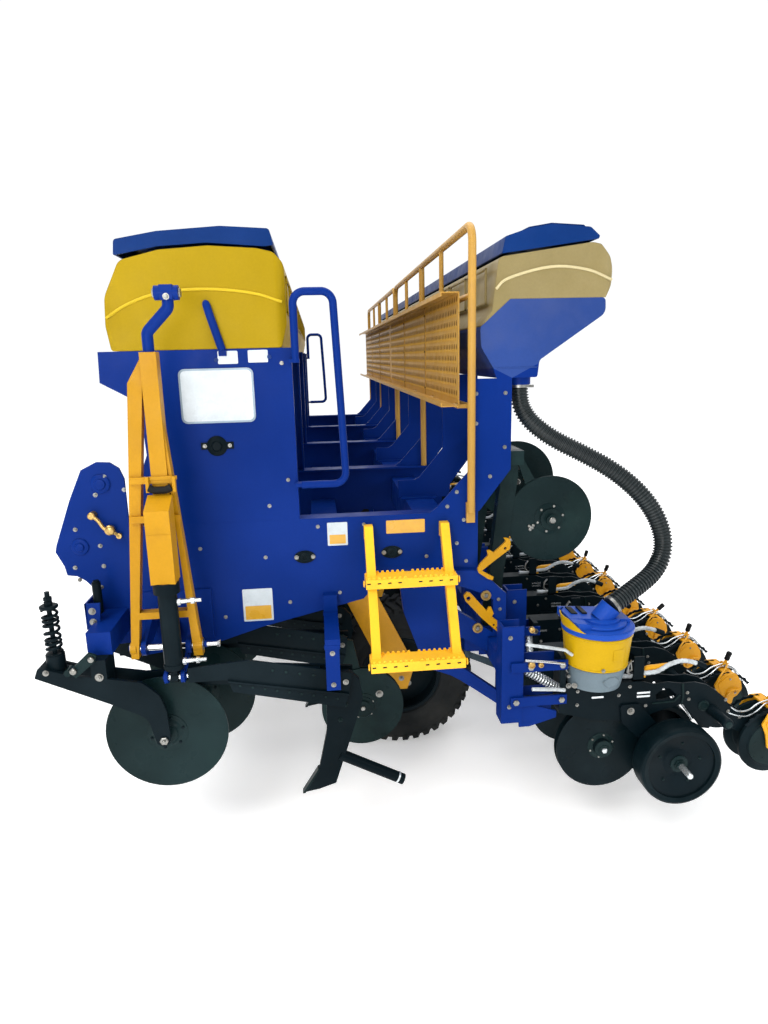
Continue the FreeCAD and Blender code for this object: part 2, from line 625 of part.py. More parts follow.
def fert_disc():
    ps = [cyl_y(145, 425, -14, -10, 186), cyl_y(145, 425, 10, 14, 186), cyl_y(145, 425, -30, 30, 34),
          prism_y([(24, 765), (110, 745), (174, 425), (114, 425)], -8, 8)]
    ps.append(box(22, 78, -54, 30, 712, 765))
    return fuse(ps)


node("fertilizer_discs", per_row(fert_disc(), rear_rows))

# blue links that carry the row beams
link = fuse([box(-12, 42, -74, -62, 726, 1010), box(-12, 50, -74, -20, 960, 1010)])
# the outermost rows hang from a bar that runs under the side plate
link_out = fuse([box(-12, 42, -74, -62, 726, 935), box(-12, 46, -74, 244, 905, 935), box(-12, 46, 214, 244, 880, 1010)])
node("beam_links", per_row(link, ROW_Y[1:-1]) + per_row(link_out, [ROW_Y[0], ROW_Y[-1]]))

# ---------------------------------------------------------------- toolbar columns, arms, rear toolbar
cols = []
COL = [(305, 1129), (575, 1129), (560, 927), (546, 640), (420, 640), (330, 900)]
for y in FRAME_Y:
    yy = y + 26 if y < 0 else y - 26
    if y == 0:
        yy = 26
    cols.append(prism_y(COL, yy - 20, yy + 20))

arms = []
for y in FRAME_Y:
    yy = y - 21 if y < 0 else (y + 21 if y > 0 else 71)
    up = prism_y([(535, 1090), (643, 1083), (711, 1029), (770, 972), (770, 880), (714, 948), (654, 985), (535, 1030)], yy - 15, yy + 15)
    mid = prism_y([(530, 925), (622, 865), (666, 831), (690, 815), (735, 782), (690, 782), (690, 712), (656, 733), (582, 779), (530, 800)], yy - 15, yy + 15)
    lo = prism_y([(430, 690), (545, 660), (596, 631), (731, 526), (765, 500), (765, 445), (732, 462), (568, 586), (524, 613), (430, 650)], yy - 15, yy + 15)
    foot_up = box(712, 770, yy - 15, yy + 15, 782, 975)
    foot_lo = box(733, 765, yy - 15, yy + 15, 480, 688)
    ya, yb = sorted((yy - 15 if y >= 0 else yy + 15, 26 if y == 0 else (y + 10 if y < 0 else y - 10)))
    if y == 0:
        ya, yb = 30, 60
    arm = [up, mid, lo, foot_up, foot_lo, box(440, 530, ya, yb, 645, 700), box(535, 566, ya, yb, 1030, 1056),
           box(530, 552, ya, yb, 830, 900)]
    arms += [fuse(arm)]
node("toolbar_arms", [fuse([c, a]) for c, a in zip(cols, arms)])

# latches for road travel, hung on the outer toolbar arms
def latches():
    a = prism_y([(581, 978), (595, 994), (611, 988), (682, 904), (690, 921), (701, 920), (712, 891), (704, 877), (766, 824),
                 (774, 809), (761, 796), (736, 800), (661, 871), (589, 955)], -2598, -2586)
    for x, z, r in ((606 - 4, 965, 9), (713, 838, 5), (728, 824, 5)):
        a = a.cut(cyl_y(x, z, -2600, -2584, r))
    b = prism_y([(640, 1094), (653, 1118), (685, 1150), (680, 1172), (693, 1174), (709, 1162), (754, 1201), (760, 1211), (751, 1223),
                 (765, 1223), (778, 1216), (781, 1197), (779, 1175), (712, 1126), (659, 1085), (710, 1054), (705, 1041), (686, 1047),
                 (645, 1077)], -2598, -2586)
    b = b.cut(cyl_y(758, 1178, -2600, -2584, 6))
    return [a, b.removeSplitter()]


LT = latches()
node("depth_latches", LT + [mirror_y(l) for l in LT])

# ---------------------------------------------------------------- row units
POST_F = (680.0, 773.0)                # even rows: bracket post, front and rear face
POST_B = (795.0, 889.0)                # odd rows
tb = box(690, 765, -2835, 2835, 690, 780).cut(box(698, 757, -2836, 2836, 698, 772))
posts = [tb]
for i, y in enumerate(ROW_Y):
    if i % 2 == 0:
        posts.append(box(684, 773, y - 40, y + 40, 510, 925).cut(box(694, 774, y - 32, y + 32, 500, 935)))
        posts.append(box(684, 773, y - 40, y + 40, 690, 780))
        for sg in (-1, 1):
            ga, gb = sorted((y + sg * 28, y + sg * 36))
            posts.append(prism_y([(760, 596), (801, 587), (915, 548), (915, 520), (803, 487), (760, 487)], ga, gb))
    else:
        posts.append(box(799, 889, y - 40, y + 40, 560, 950).cut(box(809, 890, y - 32, y + 32, 550, 960)))
        posts.append(box(755, 815, y - 40, y + 40, 690, 780))
        posts.append(prism_y([(765, 690), (799, 640), (799, 780), (765, 780)], y - 6, y + 6))
node("rear_toolbar", fuse(posts))

par = []
for i, y in enumerate(ROW_Y):
    x0 = 720 if i % 2 == 0 else 838
    for z in (755, 605):
        for s in (-1, 1):
            a, b = sorted((y + s * 40, y + s * 50))
            xa = 766 if (i % 2 == 0 and z > 700 and abs(y + s * 45) < 2840) else x0
            par.append(box(xa, 952, a, b, z - 20, z + 20))
node("parallel_arms", par)

BODY = [(925, 540), (925, 790), (945, 790), (950, 655), (1270, 655), (1320, 638), (1384, 643), (1445, 633), (1501, 634),
        (1552, 619), (1600, 586), (1636, 554), (1663, 511), (1668, 478), (1650, 460), (1600, 455), (1578, 417), (1540, 425),
        (1500, 480), (1452, 540), (1376, 522), (1327, 508), (1290, 490), (1180, 485), (1060, 500)]
WINDOW = [(1332, 590), (1364, 616), (1393, 614), (1424, 584), (1416, 566), (1339, 565)]
PIVOT_X, PIVOT_Z = 1584.0, 502.0       # stub that the closing wheel arm swings on
TRAIL = [(1600, 530), (1650, 518), (1842, 402), (1876, 372), (1880, 322), (1835, 300), (1640, 436), (1600, 470)]


def row_frame():
    win = round_poly_y(WINDOW, 5, -60, 60)
    a = prism_y(BODY, -40, -32).cut(win)
    b = prism_y(BODY, 32, 40).cut(win)
    ps = [a, b, box(925, 945, -40, 40, 540, 790), box(975, 1240, -40, 40, 640, 655), box(1556, 1590, -36, 36, 462, 585),
          box(1085, 1165, -5, 5, 400, 645), cyl_y(OPENER_X, OPENER_Z, -5, 5, 45), box(1085, 1165, -5, 5, 363, 420)]
    # gauge wheel arms
    for s in (-1, 1):
        y0, y1 = sorted((s * 40, s * 50))
        ps.append(round_poly_y([(1180, 560), (1262, 560), (1445, 345), (1430, 285), (1385, 285), (1190, 480)], 14, y0, y1))
        y0, y1 = sorted((s * 40, s * 170))
        ps.append(cyl_y(GAUGE_X, GAUGE_Z, y0, y1, 12))
    # trailing arm of the closing wheels and the stub it swings on
    for s in (-1, 1):
        y0, y1 = sorted((s * 20, s * 30))
        ps.append(prism_y(TRAIL, y0, y1).cut(cyl_y(CLOSER_X, CLOSER_Z, -60, 60, 13)))
        y0, y1 = sorted((s * 30, s * 160))
        ps.append(cyl_y(PIVOT_X, PIVOT_Z, y0, y1, 20))
    ps.append(box(1612, 1648, -36, 36, 470, 506))
    ps.append(box(1690, 1726, -24, 24, 398, 450))
    return fuse(ps)


rf = row_frame()
node("row_frames", [moved(rf, 0, y, 0) for y in ROW_Y])


def opener():
    out = []
    for s in (-1, 1):
        d = cyl_y(OPENER_X, OPENER_Z, s * 16 - 1.5, s * 16 + 1.5, OPENER_R)
        h0, h1 = sorted((s * 14.5, s * 46))
        d = fuse([d, cyl_y(OPENER_X, OPENER_Z, h0, h1, 38)])
        out.append(d)
    return out


ops = []
for y in ROW_Y:
    ops += [moved(o, 0, y, 0) for o in opener()]
node("opener_discs", ops)


def gauge_wheels():
    out = []
    for s in (-1, 1):
        R, a, b = GAUGE_R, 55, 55 + GAUGE_W
        prof = [(R - 30, a + 6), (R - 12, a), (R - 3, a + 6), (R, a + 18), (R, b - 18), (R - 3, b - 6), (R - 12, b), (R - 30, b - 6)]
        out.append(revolved([(p[0], s * p[1]) for p in prof], GAUGE_X, GAUGE_Z))
    return out


def gauge_hubs():
    """Dished wheel discs with a hub barrel."""
    out = []
    ri = GAUGE_R - 30
    for s in (-1, 1):
        prof = [(16.0, 62), (16.0, 128), (34, 128), (34, 122), (60, 112), (ri - 14, 134), (ri, 138), (ri, 128), (ri - 12, 122), (60, 100), (34, 92), (34, 62)]
        out.append(revolved([(p[0], s * p[1]) for p in prof], GAUGE_X, GAUGE_Z))
    return out


gt, gh = [], []
for y in ROW_Y:
    gt += [moved(o, 0, y, 0) for o in gauge_wheels()]
    gh += [moved(o, 0, y, 0) for o in gauge_hubs()]
node("gauge_tyres", gt)
node("gauge_hubs", gh)


def closers():
    out = []
    for s in (-1, 1):
        y0, y1 = sorted((s * 36, s * (36 + CLOSER_W)))
        R = CLOSER_R
        w = revolved([(13, y0), (R - 34, y0), (R - 30, y0 + 4), (R, (y0 + y1) / 2 - 6), (R, (y0 + y1) / 2 + 6), (R - 30, y1 - 4), (R - 34, y1), (13, y1)], CLOSER_X, CLOSER_Z)
        out.append(w)
    return out


cw = []
for y in ROW_Y:
    cw += [moved(o, 0, y, 0) for o in closers()]
node("closing_wheels", cw)

CB = [(1785, 440), (1797, 462), (1832, 494), (1888, 494), (1914, 454), (1922, 414), (1902, 384), (1884, 374), (1874, 330),
      (1842, 314), (1818, 330), (1806, 392)]
CB_RAD = [14, 12, 14, 14, 18, 22, 10, 8, 20, 20, 14, 30]


def closing_bracket(tilt):
    """Shields outside the two closing wheels, a bar over them, the axle and the pressure lever."""
    ps = [round_poly_y(CB, CB_RAD, -82, -75), round_poly_y(CB, CB_RAD, 75, 82), box(1838, 1884, -80, 80, 485, 493)]
    ps.append(cyl_y(CLOSER_X, CLOSER_Z, -80, 80, 12))
    rise = math.sqrt(78.0 ** 2 - tilt ** 2)
    ps.append(rod((1872, 0, 488), (1872 + tilt, 0, 488 + rise), 7))
    ps.append(rod((1872 + 0.6 * tilt, 0, 488 + 0.6 * rise), (1872 + tilt, 0, 488 + rise), 9))
    return fuse(ps)


cbs = [closing_bracket(t) for t in (24.0, 26.0, 22.0, 58.0)]
node("closing_brackets", [moved(cbs[i % 4], 0, y, 0) for i, y in enumerate(ROW_Y)])

# the seed meter and its small hopper, on the left outer row only
y = ROW_Y[0]


def skew_cone(xa, ra, za, xb, rb, zb):
    """Round body whose centre line leans a little forward."""
    a = Part.Wire(Part.makeCircle(ra, V(xa, y, za), V(0, 0, 1)))
    b = Part.Wire(Part.makeCircle(rb, V(xb, y, zb), V(0, 0, 1)))
    return Part.makeLoft([a, b], True, True)


meter = skew_cone(1078, 108, 655, 1086, 121, 745)
node("seed_meter", meter)
mh = skew_cone(1086, 124, 745, 1087, 137, 885).cut(skew_cone(1086, 119, 750, 1087, 132, 886))
# the rim is drawn up into a lip on the front side
lip = skew_cone(1087, 137, 885, 1082, 148, 958).cut(skew_cone(1087, 132, 884, 1082, 143, 959))
lip = lip.common(prism_y([(900, 884), (900, 950), (948, 950), (988, 912), (1046, 887), (1046, 884)], y - 200, y + 200))
node("small_hopper", fuse([mh, lip]))
cap = fuse([cyl_z(1087, y, 885, 911, 138), cyl_z(1092, y, 911, 922, 104), cyl_z(1098, y, 922, 932, 74),
            prism_y([(958, 911), (958, 944), (1210, 926), (1210, 911)], y - 30, y + 112),
            prism_y([(958, 911), (958, 944), (1010, 938), (1060, 911)], y - 84, y),
            rod((1096, y, 920), (1140.4, y, 974), 43)])
cap = cap.cut(skew_cone(1087, 139, 884, 1082, 152, 960).cut(skew_cone(1087, 131, 884, 1082, 142, 960)).common(
    prism_y([(880, 880), (880, 990), (952, 990), (994, 914), (1052, 889), (1052, 880)], y - 210, y + 210)))
cap = cap.cut(rod((1141, -2800, 974), (1202, -2787, 1011), HOSE_R + 10))
if len(cap.Solids) > 1:
    cap = max(cap.Solids, key=lambda q: q.Volume)
node("small_hopper_cap", cap)

# seed hose from the hopper base down to the small hopper
HOSE = [(838, -2480, 1849), (838, -2480, 1782), (866, -2497, 1716), (918, -2522, 1662), (984, -2550, 1616),
        (1078, -2582, 1568), (1172, -2614, 1514), (1255, -2642, 1452), (1324, -2668, 1378), (1371, -2691, 1296),
        (1390, -2711, 1214), (1376, -2731, 1142), (1330, -2752, 1084), (1262, -2772, 1044), (1202, -2787, 1011),
        (1141, -2800, 974)]
hose_wire, hose_radii = path_wire(HOSE)
hose = tube(HOSE, HOSE_R)
node("seed_hose", hose)
print("hose length", round(hose_wire.Length, 1), "radii", [round(r) for r in hose_radii],
      "volume ratio", round(hose.Volume / (math.pi * HOSE_R ** 2 * hose_wire.Length), 4))

# two openers carried high behind the first frame bay, on a cross tube and a leg
ro = [box(787, 847, -2544, -1918.5, 1520, 1580)]
for (x, yy, z) in ((995, -2450, 1263), (940, -2100, 1374)):
    ro += [cyl_y(x, z, yy - 6, yy - 2, 190), cyl_y(x, z, yy - 22, yy + 12, 46), cyl_y(x, z, yy - 38, yy - 2, 22),
           prism_y([(847, 1580), (847, 1520), (x - 55, z + 10), (x - 10, z - 45), (x + 45, z), (x, z + 50)], yy - 2, yy + 16)]
    ro.append(prism_y([(700, 780), (758, 780), (847, 1460), (847, 1580), (790, 1580), (787, 1520), (770, 1440)],
                       yy - 14 if yy < -2300 else yy + 50, yy + 40 if yy < -2300 else yy + 104))
node("raised_openers", fuse(ro))

# ---------------------------------------------------------------- transport wheels
def tyre():
    h = TYRE_W / 2
    prof = [(RIM_R, -h + 10), (RIM_R + 20, -h), (TYRE_R - 60, -h - 0), (TYRE_R - 22, -h + 10), (TYRE_R, -h + 34),
            (TYRE_R, h - 34), (TYRE_R - 22, h - 10), (TYRE_R - 60, h), (RIM_R + 20, h), (RIM_R, h - 10)]
    return revolved(prof)


def rim():
    r = cyl_y(0, 0, -TYRE_W / 2 + 12, TYRE_W / 2 - 12, RIM_R)
    r = r.cut(cyl_y(0, 0, -TYRE_W, -25, RIM_R - 14)).cut(cyl_y(0, 0, 10, TYRE_W, RIM_R - 14))
    r = r.fuse(cyl_y(0, 0, -75, 10, 62)).removeSplitter()
    return r.cut(cyl_y(0, 0, -TYRE_W, TYRE_W, 26))


for i, wy in enumerate(WHEEL_Y):
    node("transport_tyre_%d" % (i + 1), moved(tyre(), WHEEL_X, wy, TYRE_R), lift=False)
    node("transport_rim_%d" % (i + 1), moved(rim(), WHEEL_X, wy, TYRE_R), lift=False)

AX = TYRE_R - Z_LIFT
wa = []
for k, wy in enumerate(WHEEL_Y):
    # fork on one side of the wheel, stub axle through the hub
    y0 = -TYRE_W / 2 - 18
    ps = [prism_y([(100, 1010), (230, 1010), (260, 800), (440, 420), (400, 290), (330, 290), (80, 830)], y0, y0 + 12),
          cyl_y(WHEEL_X, AX, y0, 80, 25)]
    a = fuse(ps)
    wa.append(moved(a if wy < 0 else mirror_y(a), 0, wy, 0))
node("wheel_arms", wa)

# ---------------------------------------------------------------- drawbar and jack
def draw_leg(sy):
    plan = prism_z([(-600, sy * 270), (-600, sy * 150), (-1060, sy * 128), (-1560, sy * 30), (-1560, sy * 118), (-1060, sy * 240)], 500, 1300)
    side = prism_y([(-600, 1140), (-740, 1140), (-915, 1128), (-1560, 770), (-1560, 650), (-915, 1006), (-740, 1020), (-600, 1020)], -600, 600)
    return plan.common(side)


eye = cyl_z(-1790, 0, 660, 720, 62).fuse(box(-1790, -1640, -45, 45, 660, 720))
dbs = fuse([draw_leg(-1), draw_leg(1), box(-1640, -1500, -120, 120, 640, 780), eye])
dbs = dbs.cut(cyl_z(-1790, 0, 600, 900, 25.5))
jx = -1330
jt = box(jx - 40, jx + 40, -40, 40, 560, 1160).cut(box(jx - 34, jx + 34, -34, 34, 500, 1150))
cross = box(-1400, -1260, -130, 130, 800, 860).cut(box(jx - 34, jx + 34, -34, 34, 700, 1000))
node("drawbar", fuse([dbs, jt, cross]))
leg = fuse([box(jx - 32, jx + 32, -32, 32, -20, 1000)])
foot = box(jx - 110, jx + 110, -110, 110, -Z_LIFT, -20)
node("jack_leg", fuse([leg, foot]))

# ---------------------------------------------------------------- export
os.makedirs("parts", exist_ok=True)
lo = [1e9] * 3
hi = [-1e9] * 3
for n in ORDER:
    s = NODES[n]
    bb = s.BoundBox
    lo = [min(lo[0], bb.XMin), min(lo[1], bb.YMin), min(lo[2], bb.ZMin)]
    hi = [max(hi[0], bb.XMax), max(hi[1], bb.YMax), max(hi[2], bb.ZMax)]
    if not s.isValid():
        print("INVALID", n)
    s.exportStep("parts/%s.step" % n)
print("nodes", len(ORDER))
print("box", [round(v, 2) for v in lo], [round(v, 2) for v in hi], "mid x", round((lo[0] + hi[0]) / 2, 3))
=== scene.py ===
import bpy, bmesh, math, random
from mathutils import Vector, Matrix, noise as mnoise


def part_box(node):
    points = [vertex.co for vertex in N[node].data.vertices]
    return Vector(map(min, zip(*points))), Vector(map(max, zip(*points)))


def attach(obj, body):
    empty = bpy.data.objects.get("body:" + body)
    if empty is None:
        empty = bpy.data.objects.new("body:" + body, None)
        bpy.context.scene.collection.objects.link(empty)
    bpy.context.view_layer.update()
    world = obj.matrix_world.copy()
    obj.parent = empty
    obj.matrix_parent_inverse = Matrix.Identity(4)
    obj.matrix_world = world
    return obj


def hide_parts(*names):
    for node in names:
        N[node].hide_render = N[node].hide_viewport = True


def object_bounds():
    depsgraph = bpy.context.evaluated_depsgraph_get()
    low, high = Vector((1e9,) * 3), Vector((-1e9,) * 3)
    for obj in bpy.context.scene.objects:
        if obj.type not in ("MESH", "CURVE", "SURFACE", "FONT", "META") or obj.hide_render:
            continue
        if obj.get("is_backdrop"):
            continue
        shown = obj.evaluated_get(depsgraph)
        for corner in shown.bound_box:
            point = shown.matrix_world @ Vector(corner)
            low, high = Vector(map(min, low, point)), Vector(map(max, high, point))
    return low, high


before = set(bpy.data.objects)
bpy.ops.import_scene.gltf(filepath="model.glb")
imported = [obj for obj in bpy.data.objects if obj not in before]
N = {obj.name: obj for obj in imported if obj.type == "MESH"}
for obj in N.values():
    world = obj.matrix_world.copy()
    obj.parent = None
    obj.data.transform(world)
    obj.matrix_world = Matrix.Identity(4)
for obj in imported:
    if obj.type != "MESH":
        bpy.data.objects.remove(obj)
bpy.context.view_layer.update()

random.seed(7)

# The drawing's millimetres: X to the rear, Y across, Z up, before the origin
# was moved to the middle of the machine.
_a, _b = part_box("transport_tyre_1")
XS = (_a[0] + _b[0]) / 2 - 0.370
ZL = 0.030


def q(x, y, z):
    return Vector((x * 1e-3 + XS, y * 1e-3, z * 1e-3 + ZL))


ROW_Y = [350.0 * (i - 8) for i in range(17)]
FRAME_Y = [-2550.0, -1275.0, 0.0, 1275.0, 2550.0]
FRONT_ROWS = [y for i, y in enumerate(ROW_Y) if i % 2 == 0]
REAR_ROWS = [y for i, y in enumerate(ROW_Y) if i % 2 == 1]
FLIPPED = (1750.0, 350.0)


def row_sign(y):
    """+1 where a row piece is drawn as for the left half, -1 where it is mirrored."""
    return -1.0 if (y > 1) != (abs(y) in FLIPPED) else 1.0


# ------------------------------------------------------------------ camera
cam_data = bpy.data.cameras.new("camera")
cam = bpy.data.objects.new("camera", cam_data)
bpy.context.scene.collection.objects.link(cam)
right, up, fwd = Vector((0.9949, -0.0979, -0.0241)), Vector((0.0453, 0.2199, 0.9745)), Vector((0.0901, 0.9706, -0.2233))
m = Matrix((right, up, -fwd)).transposed().to_4x4()
m.translation = q(0, -5300, 1980)
cam.matrix_world = m
cam_data.sensor_fit = "VERTICAL"
cam_data.sensor_height = 36.0
cam_data.lens = 24.05
cam_data.clip_end = 200.0
bpy.context.scene.camera = cam
bpy.context.scene.view_settings.view_transform = "Standard"

# ------------------------------------------------------------------ materials
MATS = {}


def material(name, col, rough=0.4, metal=0.0, coat=0.0, coat_rough=0.1, vary=0.12, vary_scale=2.5, fine=0.03, fine_scale=120.0,
             rough_vary=0.08, rough_scale=14.0, bump=0.08, bump_dist=0.0006, bevel=0.0015, dust=0.0, dust_col=(0.42, 0.36, 0.28),
             spec=0.5, sss=0.0, sss_col=None, second=None, second_scale=6.0, second_amount=0.0, stretch=None, sheen=0.0):
    """Paint, plastic, rubber or metal: broad and fine colour changes, uneven gloss, a fine surface grain, dust low down."""
    m = bpy.data.materials.new(name)
    m.use_nodes = True
    nt = m.node_tree
    nt.nodes.clear()
    nd, ln = nt.nodes.new, nt.links.new
    out = nd("ShaderNodeOutputMaterial")
    b = nd("ShaderNodeBsdfPrincipled")
    ln(b.outputs[0], out.inputs[0])
    tc = nd("ShaderNodeTexCoord")
    src = tc.outputs["Object"]
    if stretch:
        mp = nd("ShaderNodeMapping")
        mp.inputs["Scale"].default_value = stretch
        ln(src, mp.inputs["Vector"])
        src = mp.outputs[0]
    n1 = nd("ShaderNodeTexNoise")
    n1.inputs["Scale"].default_value = vary_scale
    n1.inputs["Detail"].default_value = 5.0
    ln(src, n1.inputs["Vector"])
    r1 = nd("ShaderNodeValToRGB")
    r1.color_ramp.elements[0].position = 0.32
    r1.color_ramp.elements[1].position = 0.70
    dark = [max(0.0, c * (1 - vary)) for c in col]
    lite = [min(1.0, c * (1 + vary) + 0.004) for c in col]
    r1.color_ramp.elements[0].color = (*dark, 1)
    r1.color_ramp.elements[1].color = (*lite, 1)
    ln(n1.outputs["Fac"], r1.inputs["Fac"])
    colour = r1.outputs["Color"]
    if fine > 0:
        n2 = nd("ShaderNodeTexNoise")
        n2.inputs["Scale"].default_value = fine_scale
        n2.inputs["Detail"].default_value = 3.0
        ln(src, n2.inputs["Vector"])
        r2 = nd("ShaderNodeMapRange")
        r2.inputs["From Min"].default_value = 0.3
        r2.inputs["From Max"].default_value = 0.7
        r2.inputs["To Min"].default_value = 1.0 - fine
        r2.inputs["To Max"].default_value = 1.0 + fine
        ln(n2.outputs["Fac"], r2.inputs["Value"])
        mx = nd("ShaderNodeVectorMath")
        mx.operation = "SCALE"
        ln(colour, mx.inputs[0])
        ln(r2.outputs[0], mx.inputs["Scale"])
        colour = mx.outputs[0]
    if second:
        n4 = nd("ShaderNodeTexNoise")
        n4.inputs["Scale"].default_value = second_scale
        n4.inputs["Detail"].default_value = 7.0
        n4.inputs["Roughness"].default_value = 0.65
        ln(src, n4.inputs["Vector"])
        r4 = nd("ShaderNodeMapRange")
        r4.inputs["From Min"].default_value = 0.52
        r4.inputs["From Max"].default_value = 0.72
        r4.inputs["To Min"].default_value = 0.0
        r4.inputs["To Max"].default_value = second_amount
        ln(n4.outputs["Fac"], r4.inputs["Value"])
        m4 = nd("ShaderNodeMix")
        m4.data_type = "RGBA"
        ln(r4.outputs[0], m4.inputs["Factor"])
        ln(colour, m4.inputs["A"])
        m4.inputs["B"].default_value = (*second, 1)
        colour = m4.outputs["Result"]
    if dust > 0:
        # dust lies more densely near the ground
        sep = nd("ShaderNodeSeparateXYZ")
        ln(tc.outputs["Object"], sep.inputs[0])
        hz = nd("ShaderNodeMapRange")
        hz.inputs["From Min"].default_value = 0.0
        hz.inputs["From Max"].default_value = 0.9
        hz.inputs["To Min"].default_value = 1.0
        hz.inputs["To Max"].default_value = 0.12
        ln(sep.outputs["Z"], hz.inputs["Value"])
        n5 = nd("ShaderNodeTexNoise")
        n5.inputs["Scale"].default_value = 7.0
        n5.inputs["Detail"].default_value = 8.0
        ln(tc.outputs["Object"], n5.inputs["Vector"])
        r5 = nd("ShaderNodeMapRange")
        r5.inputs["From Min"].default_value = 0.42
        r5.inputs["From Max"].default_value = 0.75
        r5.inputs["To Min"].default_value = 0.0
        r5.inputs["To Max"].default_value = dust
        ln(n5.outputs["Fac"], r5.inputs["Value"])
        mu = nd("ShaderNodeMath")
        mu.operation = "MULTIPLY"
        ln(hz.outputs[0], mu.inputs[0])
        ln(r5.outputs[0], mu.inputs[1])
        m5 = nd("ShaderNodeMix")
        m5.data_type = "RGBA"
        ln(mu.outputs[0], m5.inputs["Factor"])
        ln(colour, m5.inputs["A"])
        m5.inputs["B"].default_value = (*dust_col, 1)
        colour = m5.outputs["Result"]
    ln(colour, b.inputs["Base Color"])
    n3 = nd("ShaderNodeTexNoise")
    n3.inputs["Scale"].default_value = rough_scale
    n3.inputs["Detail"].default_value = 4.0
    ln(src, n3.inputs["Vector"])
    r3 = nd("ShaderNodeMapRange")
    r3.inputs["From Min"].default_value = 0.3
    r3.inputs["From Max"].default_value = 0.7
    r3.inputs["To Min"].default_value = max(0.03, rough - rough_vary)
    r3.inputs["To Max"].default_value = min(1.0, rough + rough_vary)
    ln(n3.outputs["Fac"], r3.inputs["Value"])
    ln(r3.outputs[0], b.inputs["Roughness"])
    b.inputs["Metallic"].default_value = metal
    b.inputs["Coat Weight"].default_value = coat
    b.inputs["Coat Roughness"].default_value = coat_rough
    b.inputs["Specular IOR Level"].default_value = spec
    if sss > 0:
        b.inputs["Subsurface Weight"].default_value = sss
        b.inputs["Subsurface Radius"].default_value = (0.03, 0.02, 0.01)
        b.inputs["Subsurface Scale"].default_value = 0.5
    bn = None
    if bevel > 0:
        bn = nd("ShaderNodeBevel")
        bn.samples = 3
        bn.inputs["Radius"].default_value = bevel
    if bump > 0:
        nb = nd("ShaderNodeTexNoise")
        nb.inputs["Scale"].default_value = fine_scale * 1.6
        nb.inputs["Detail"].default_value = 2.0
        ln(src, nb.inputs["Vector"])
        bp = nd("ShaderNodeBump")
        bp.inputs["Strength"].default_value = bump
        bp.inputs["Distance"].default_value = bump_dist
        ln(nb.outputs["Fac"], bp.inputs["Height"])
        if bn:
            ln(bn.outputs[0], bp.inputs["Normal"])
        ln(bp.outputs[0], b.inputs["Normal"])
        if bn and coat > 0:
            ln(bn.outputs[0], b.inputs["Coat Normal"])
    elif bn:
        ln(bn.outputs[0], b.inputs["Normal"])
    MATS[name] = m
    return m


material("blue_paint", (0.0006, 0.021, 0.178), rough=0.36, vary=0.16, vary_scale=1.6, dust=0.004, spec=0.05)
material("blue_plastic", (0.001, 0.026, 0.142), rough=0.40, vary=0.12, vary_scale=3.0, bump=0.12, bevel=0.004, spec=0.08)
material("cap_blue", (0.006, 0.058, 0.37), rough=0.36, vary=0.10, vary_scale=4.0, bump=0.12, bevel=0.003, spec=0.12)
material("yellow_paint", (0.72, 0.335, 0.007), rough=0.38, coat=0.06, vary=0.12, vary_scale=2.2, second=(0.42, 0.18, 0.012), second_amount=0.35, dust=0.06, spec=0.2)
material("deck_paint", (0.46, 0.255, 0.047), rough=0.42, coat=0.05, vary=0.12, vary_scale=1.4, second=(0.40, 0.22, 0.07), second_amount=0.4, spec=0.2)
material("hopper_yellow", (0.37, 0.245, 0.003), rough=0.42, vary=0.12, vary_scale=1.3, bump=0.18, bump_dist=0.0012, bevel=0.006, second=(0.24, 0.155, 0.003), second_amount=0.35, second_scale=2.2, spec=0.08)
material("bucket_yellow", (0.52, 0.315, 0.002), rough=0.34, vary=0.08, vary_scale=5.0, bump=0.10, bevel=0.003, spec=0.10)
material("cream_plastic", (0.27, 0.215, 0.095), rough=0.38, vary=0.14, vary_scale=1.6, bump=0.15, bump_dist=0.001, bevel=0.006, sss=0.08, second=(0.20, 0.155, 0.055), second_amount=0.5, second_scale=1.8, spec=0.12)
material("grey_plastic", (0.130, 0.175, 0.205), rough=0.45, vary=0.10, vary_scale=6.0, bump=0.10, bevel=0.003, spec=0.2)
material("tyre_rubber", (0.009, 0.011, 0.012), rough=0.62, vary=0.22, vary_scale=7.0, bump=0.25, bump_dist=0.001, bevel=0.0, dust=0.07, dust_col=(0.20, 0.17, 0.13), spec=0.1)
material("wheel_rubber", (0.0016, 0.0075, 0.0105), rough=0.42, vary=0.25, vary_scale=6.0, bump=0.12, bevel=0.002, dust=0.01, dust_col=(0.20, 0.18, 0.14), spec=0.05)
material("hose_plastic", (0.012, 0.018, 0.020), rough=0.34, vary=0.15, vary_scale=8.0, bump=0.06, bevel=0.0, spec=0.3)
material("chromed_rod", (0.72, 0.73, 0.74), rough=0.16, metal=1.0, vary=0.05, bump=0.03, bevel=0.001)
material("zinc", (0.27, 0.27, 0.255), rough=0.34, metal=0.9, vary=0.25, vary_scale=22.0, bump=0.15, bevel=0.0008, second=(0.16, 0.13, 0.09), second_amount=0.5, second_scale=30.0)
material("brass_zinc", (0.46, 0.30, 0.10), rough=0.34, metal=0.85, vary=0.18, vary_scale=22.0, bump=0.12, bevel=0.0008)
material("disc_steel", (0.0045, 0.0150, 0.0165), rough=0.33, vary=0.35, vary_scale=3.0, rough_vary=0.12, bump=0.10, bevel=0.001, dust=0.02, dust_col=(0.10, 0.11, 0.08), spec=0.08,
         second=(0.012, 0.032, 0.030), second_amount=0.7, second_scale=2.6)
material("opener_steel", (0.0018, 0.0075, 0.0105), rough=0.34, vary=0.35, vary_scale=3.0, rough_vary=0.12, bump=0.10, bevel=0.001, dust=0.015, dust_col=(0.10, 0.11, 0.08), spec=0.07,
         second=(0.007, 0.017, 0.020), second_amount=0.6, second_scale=3.0)
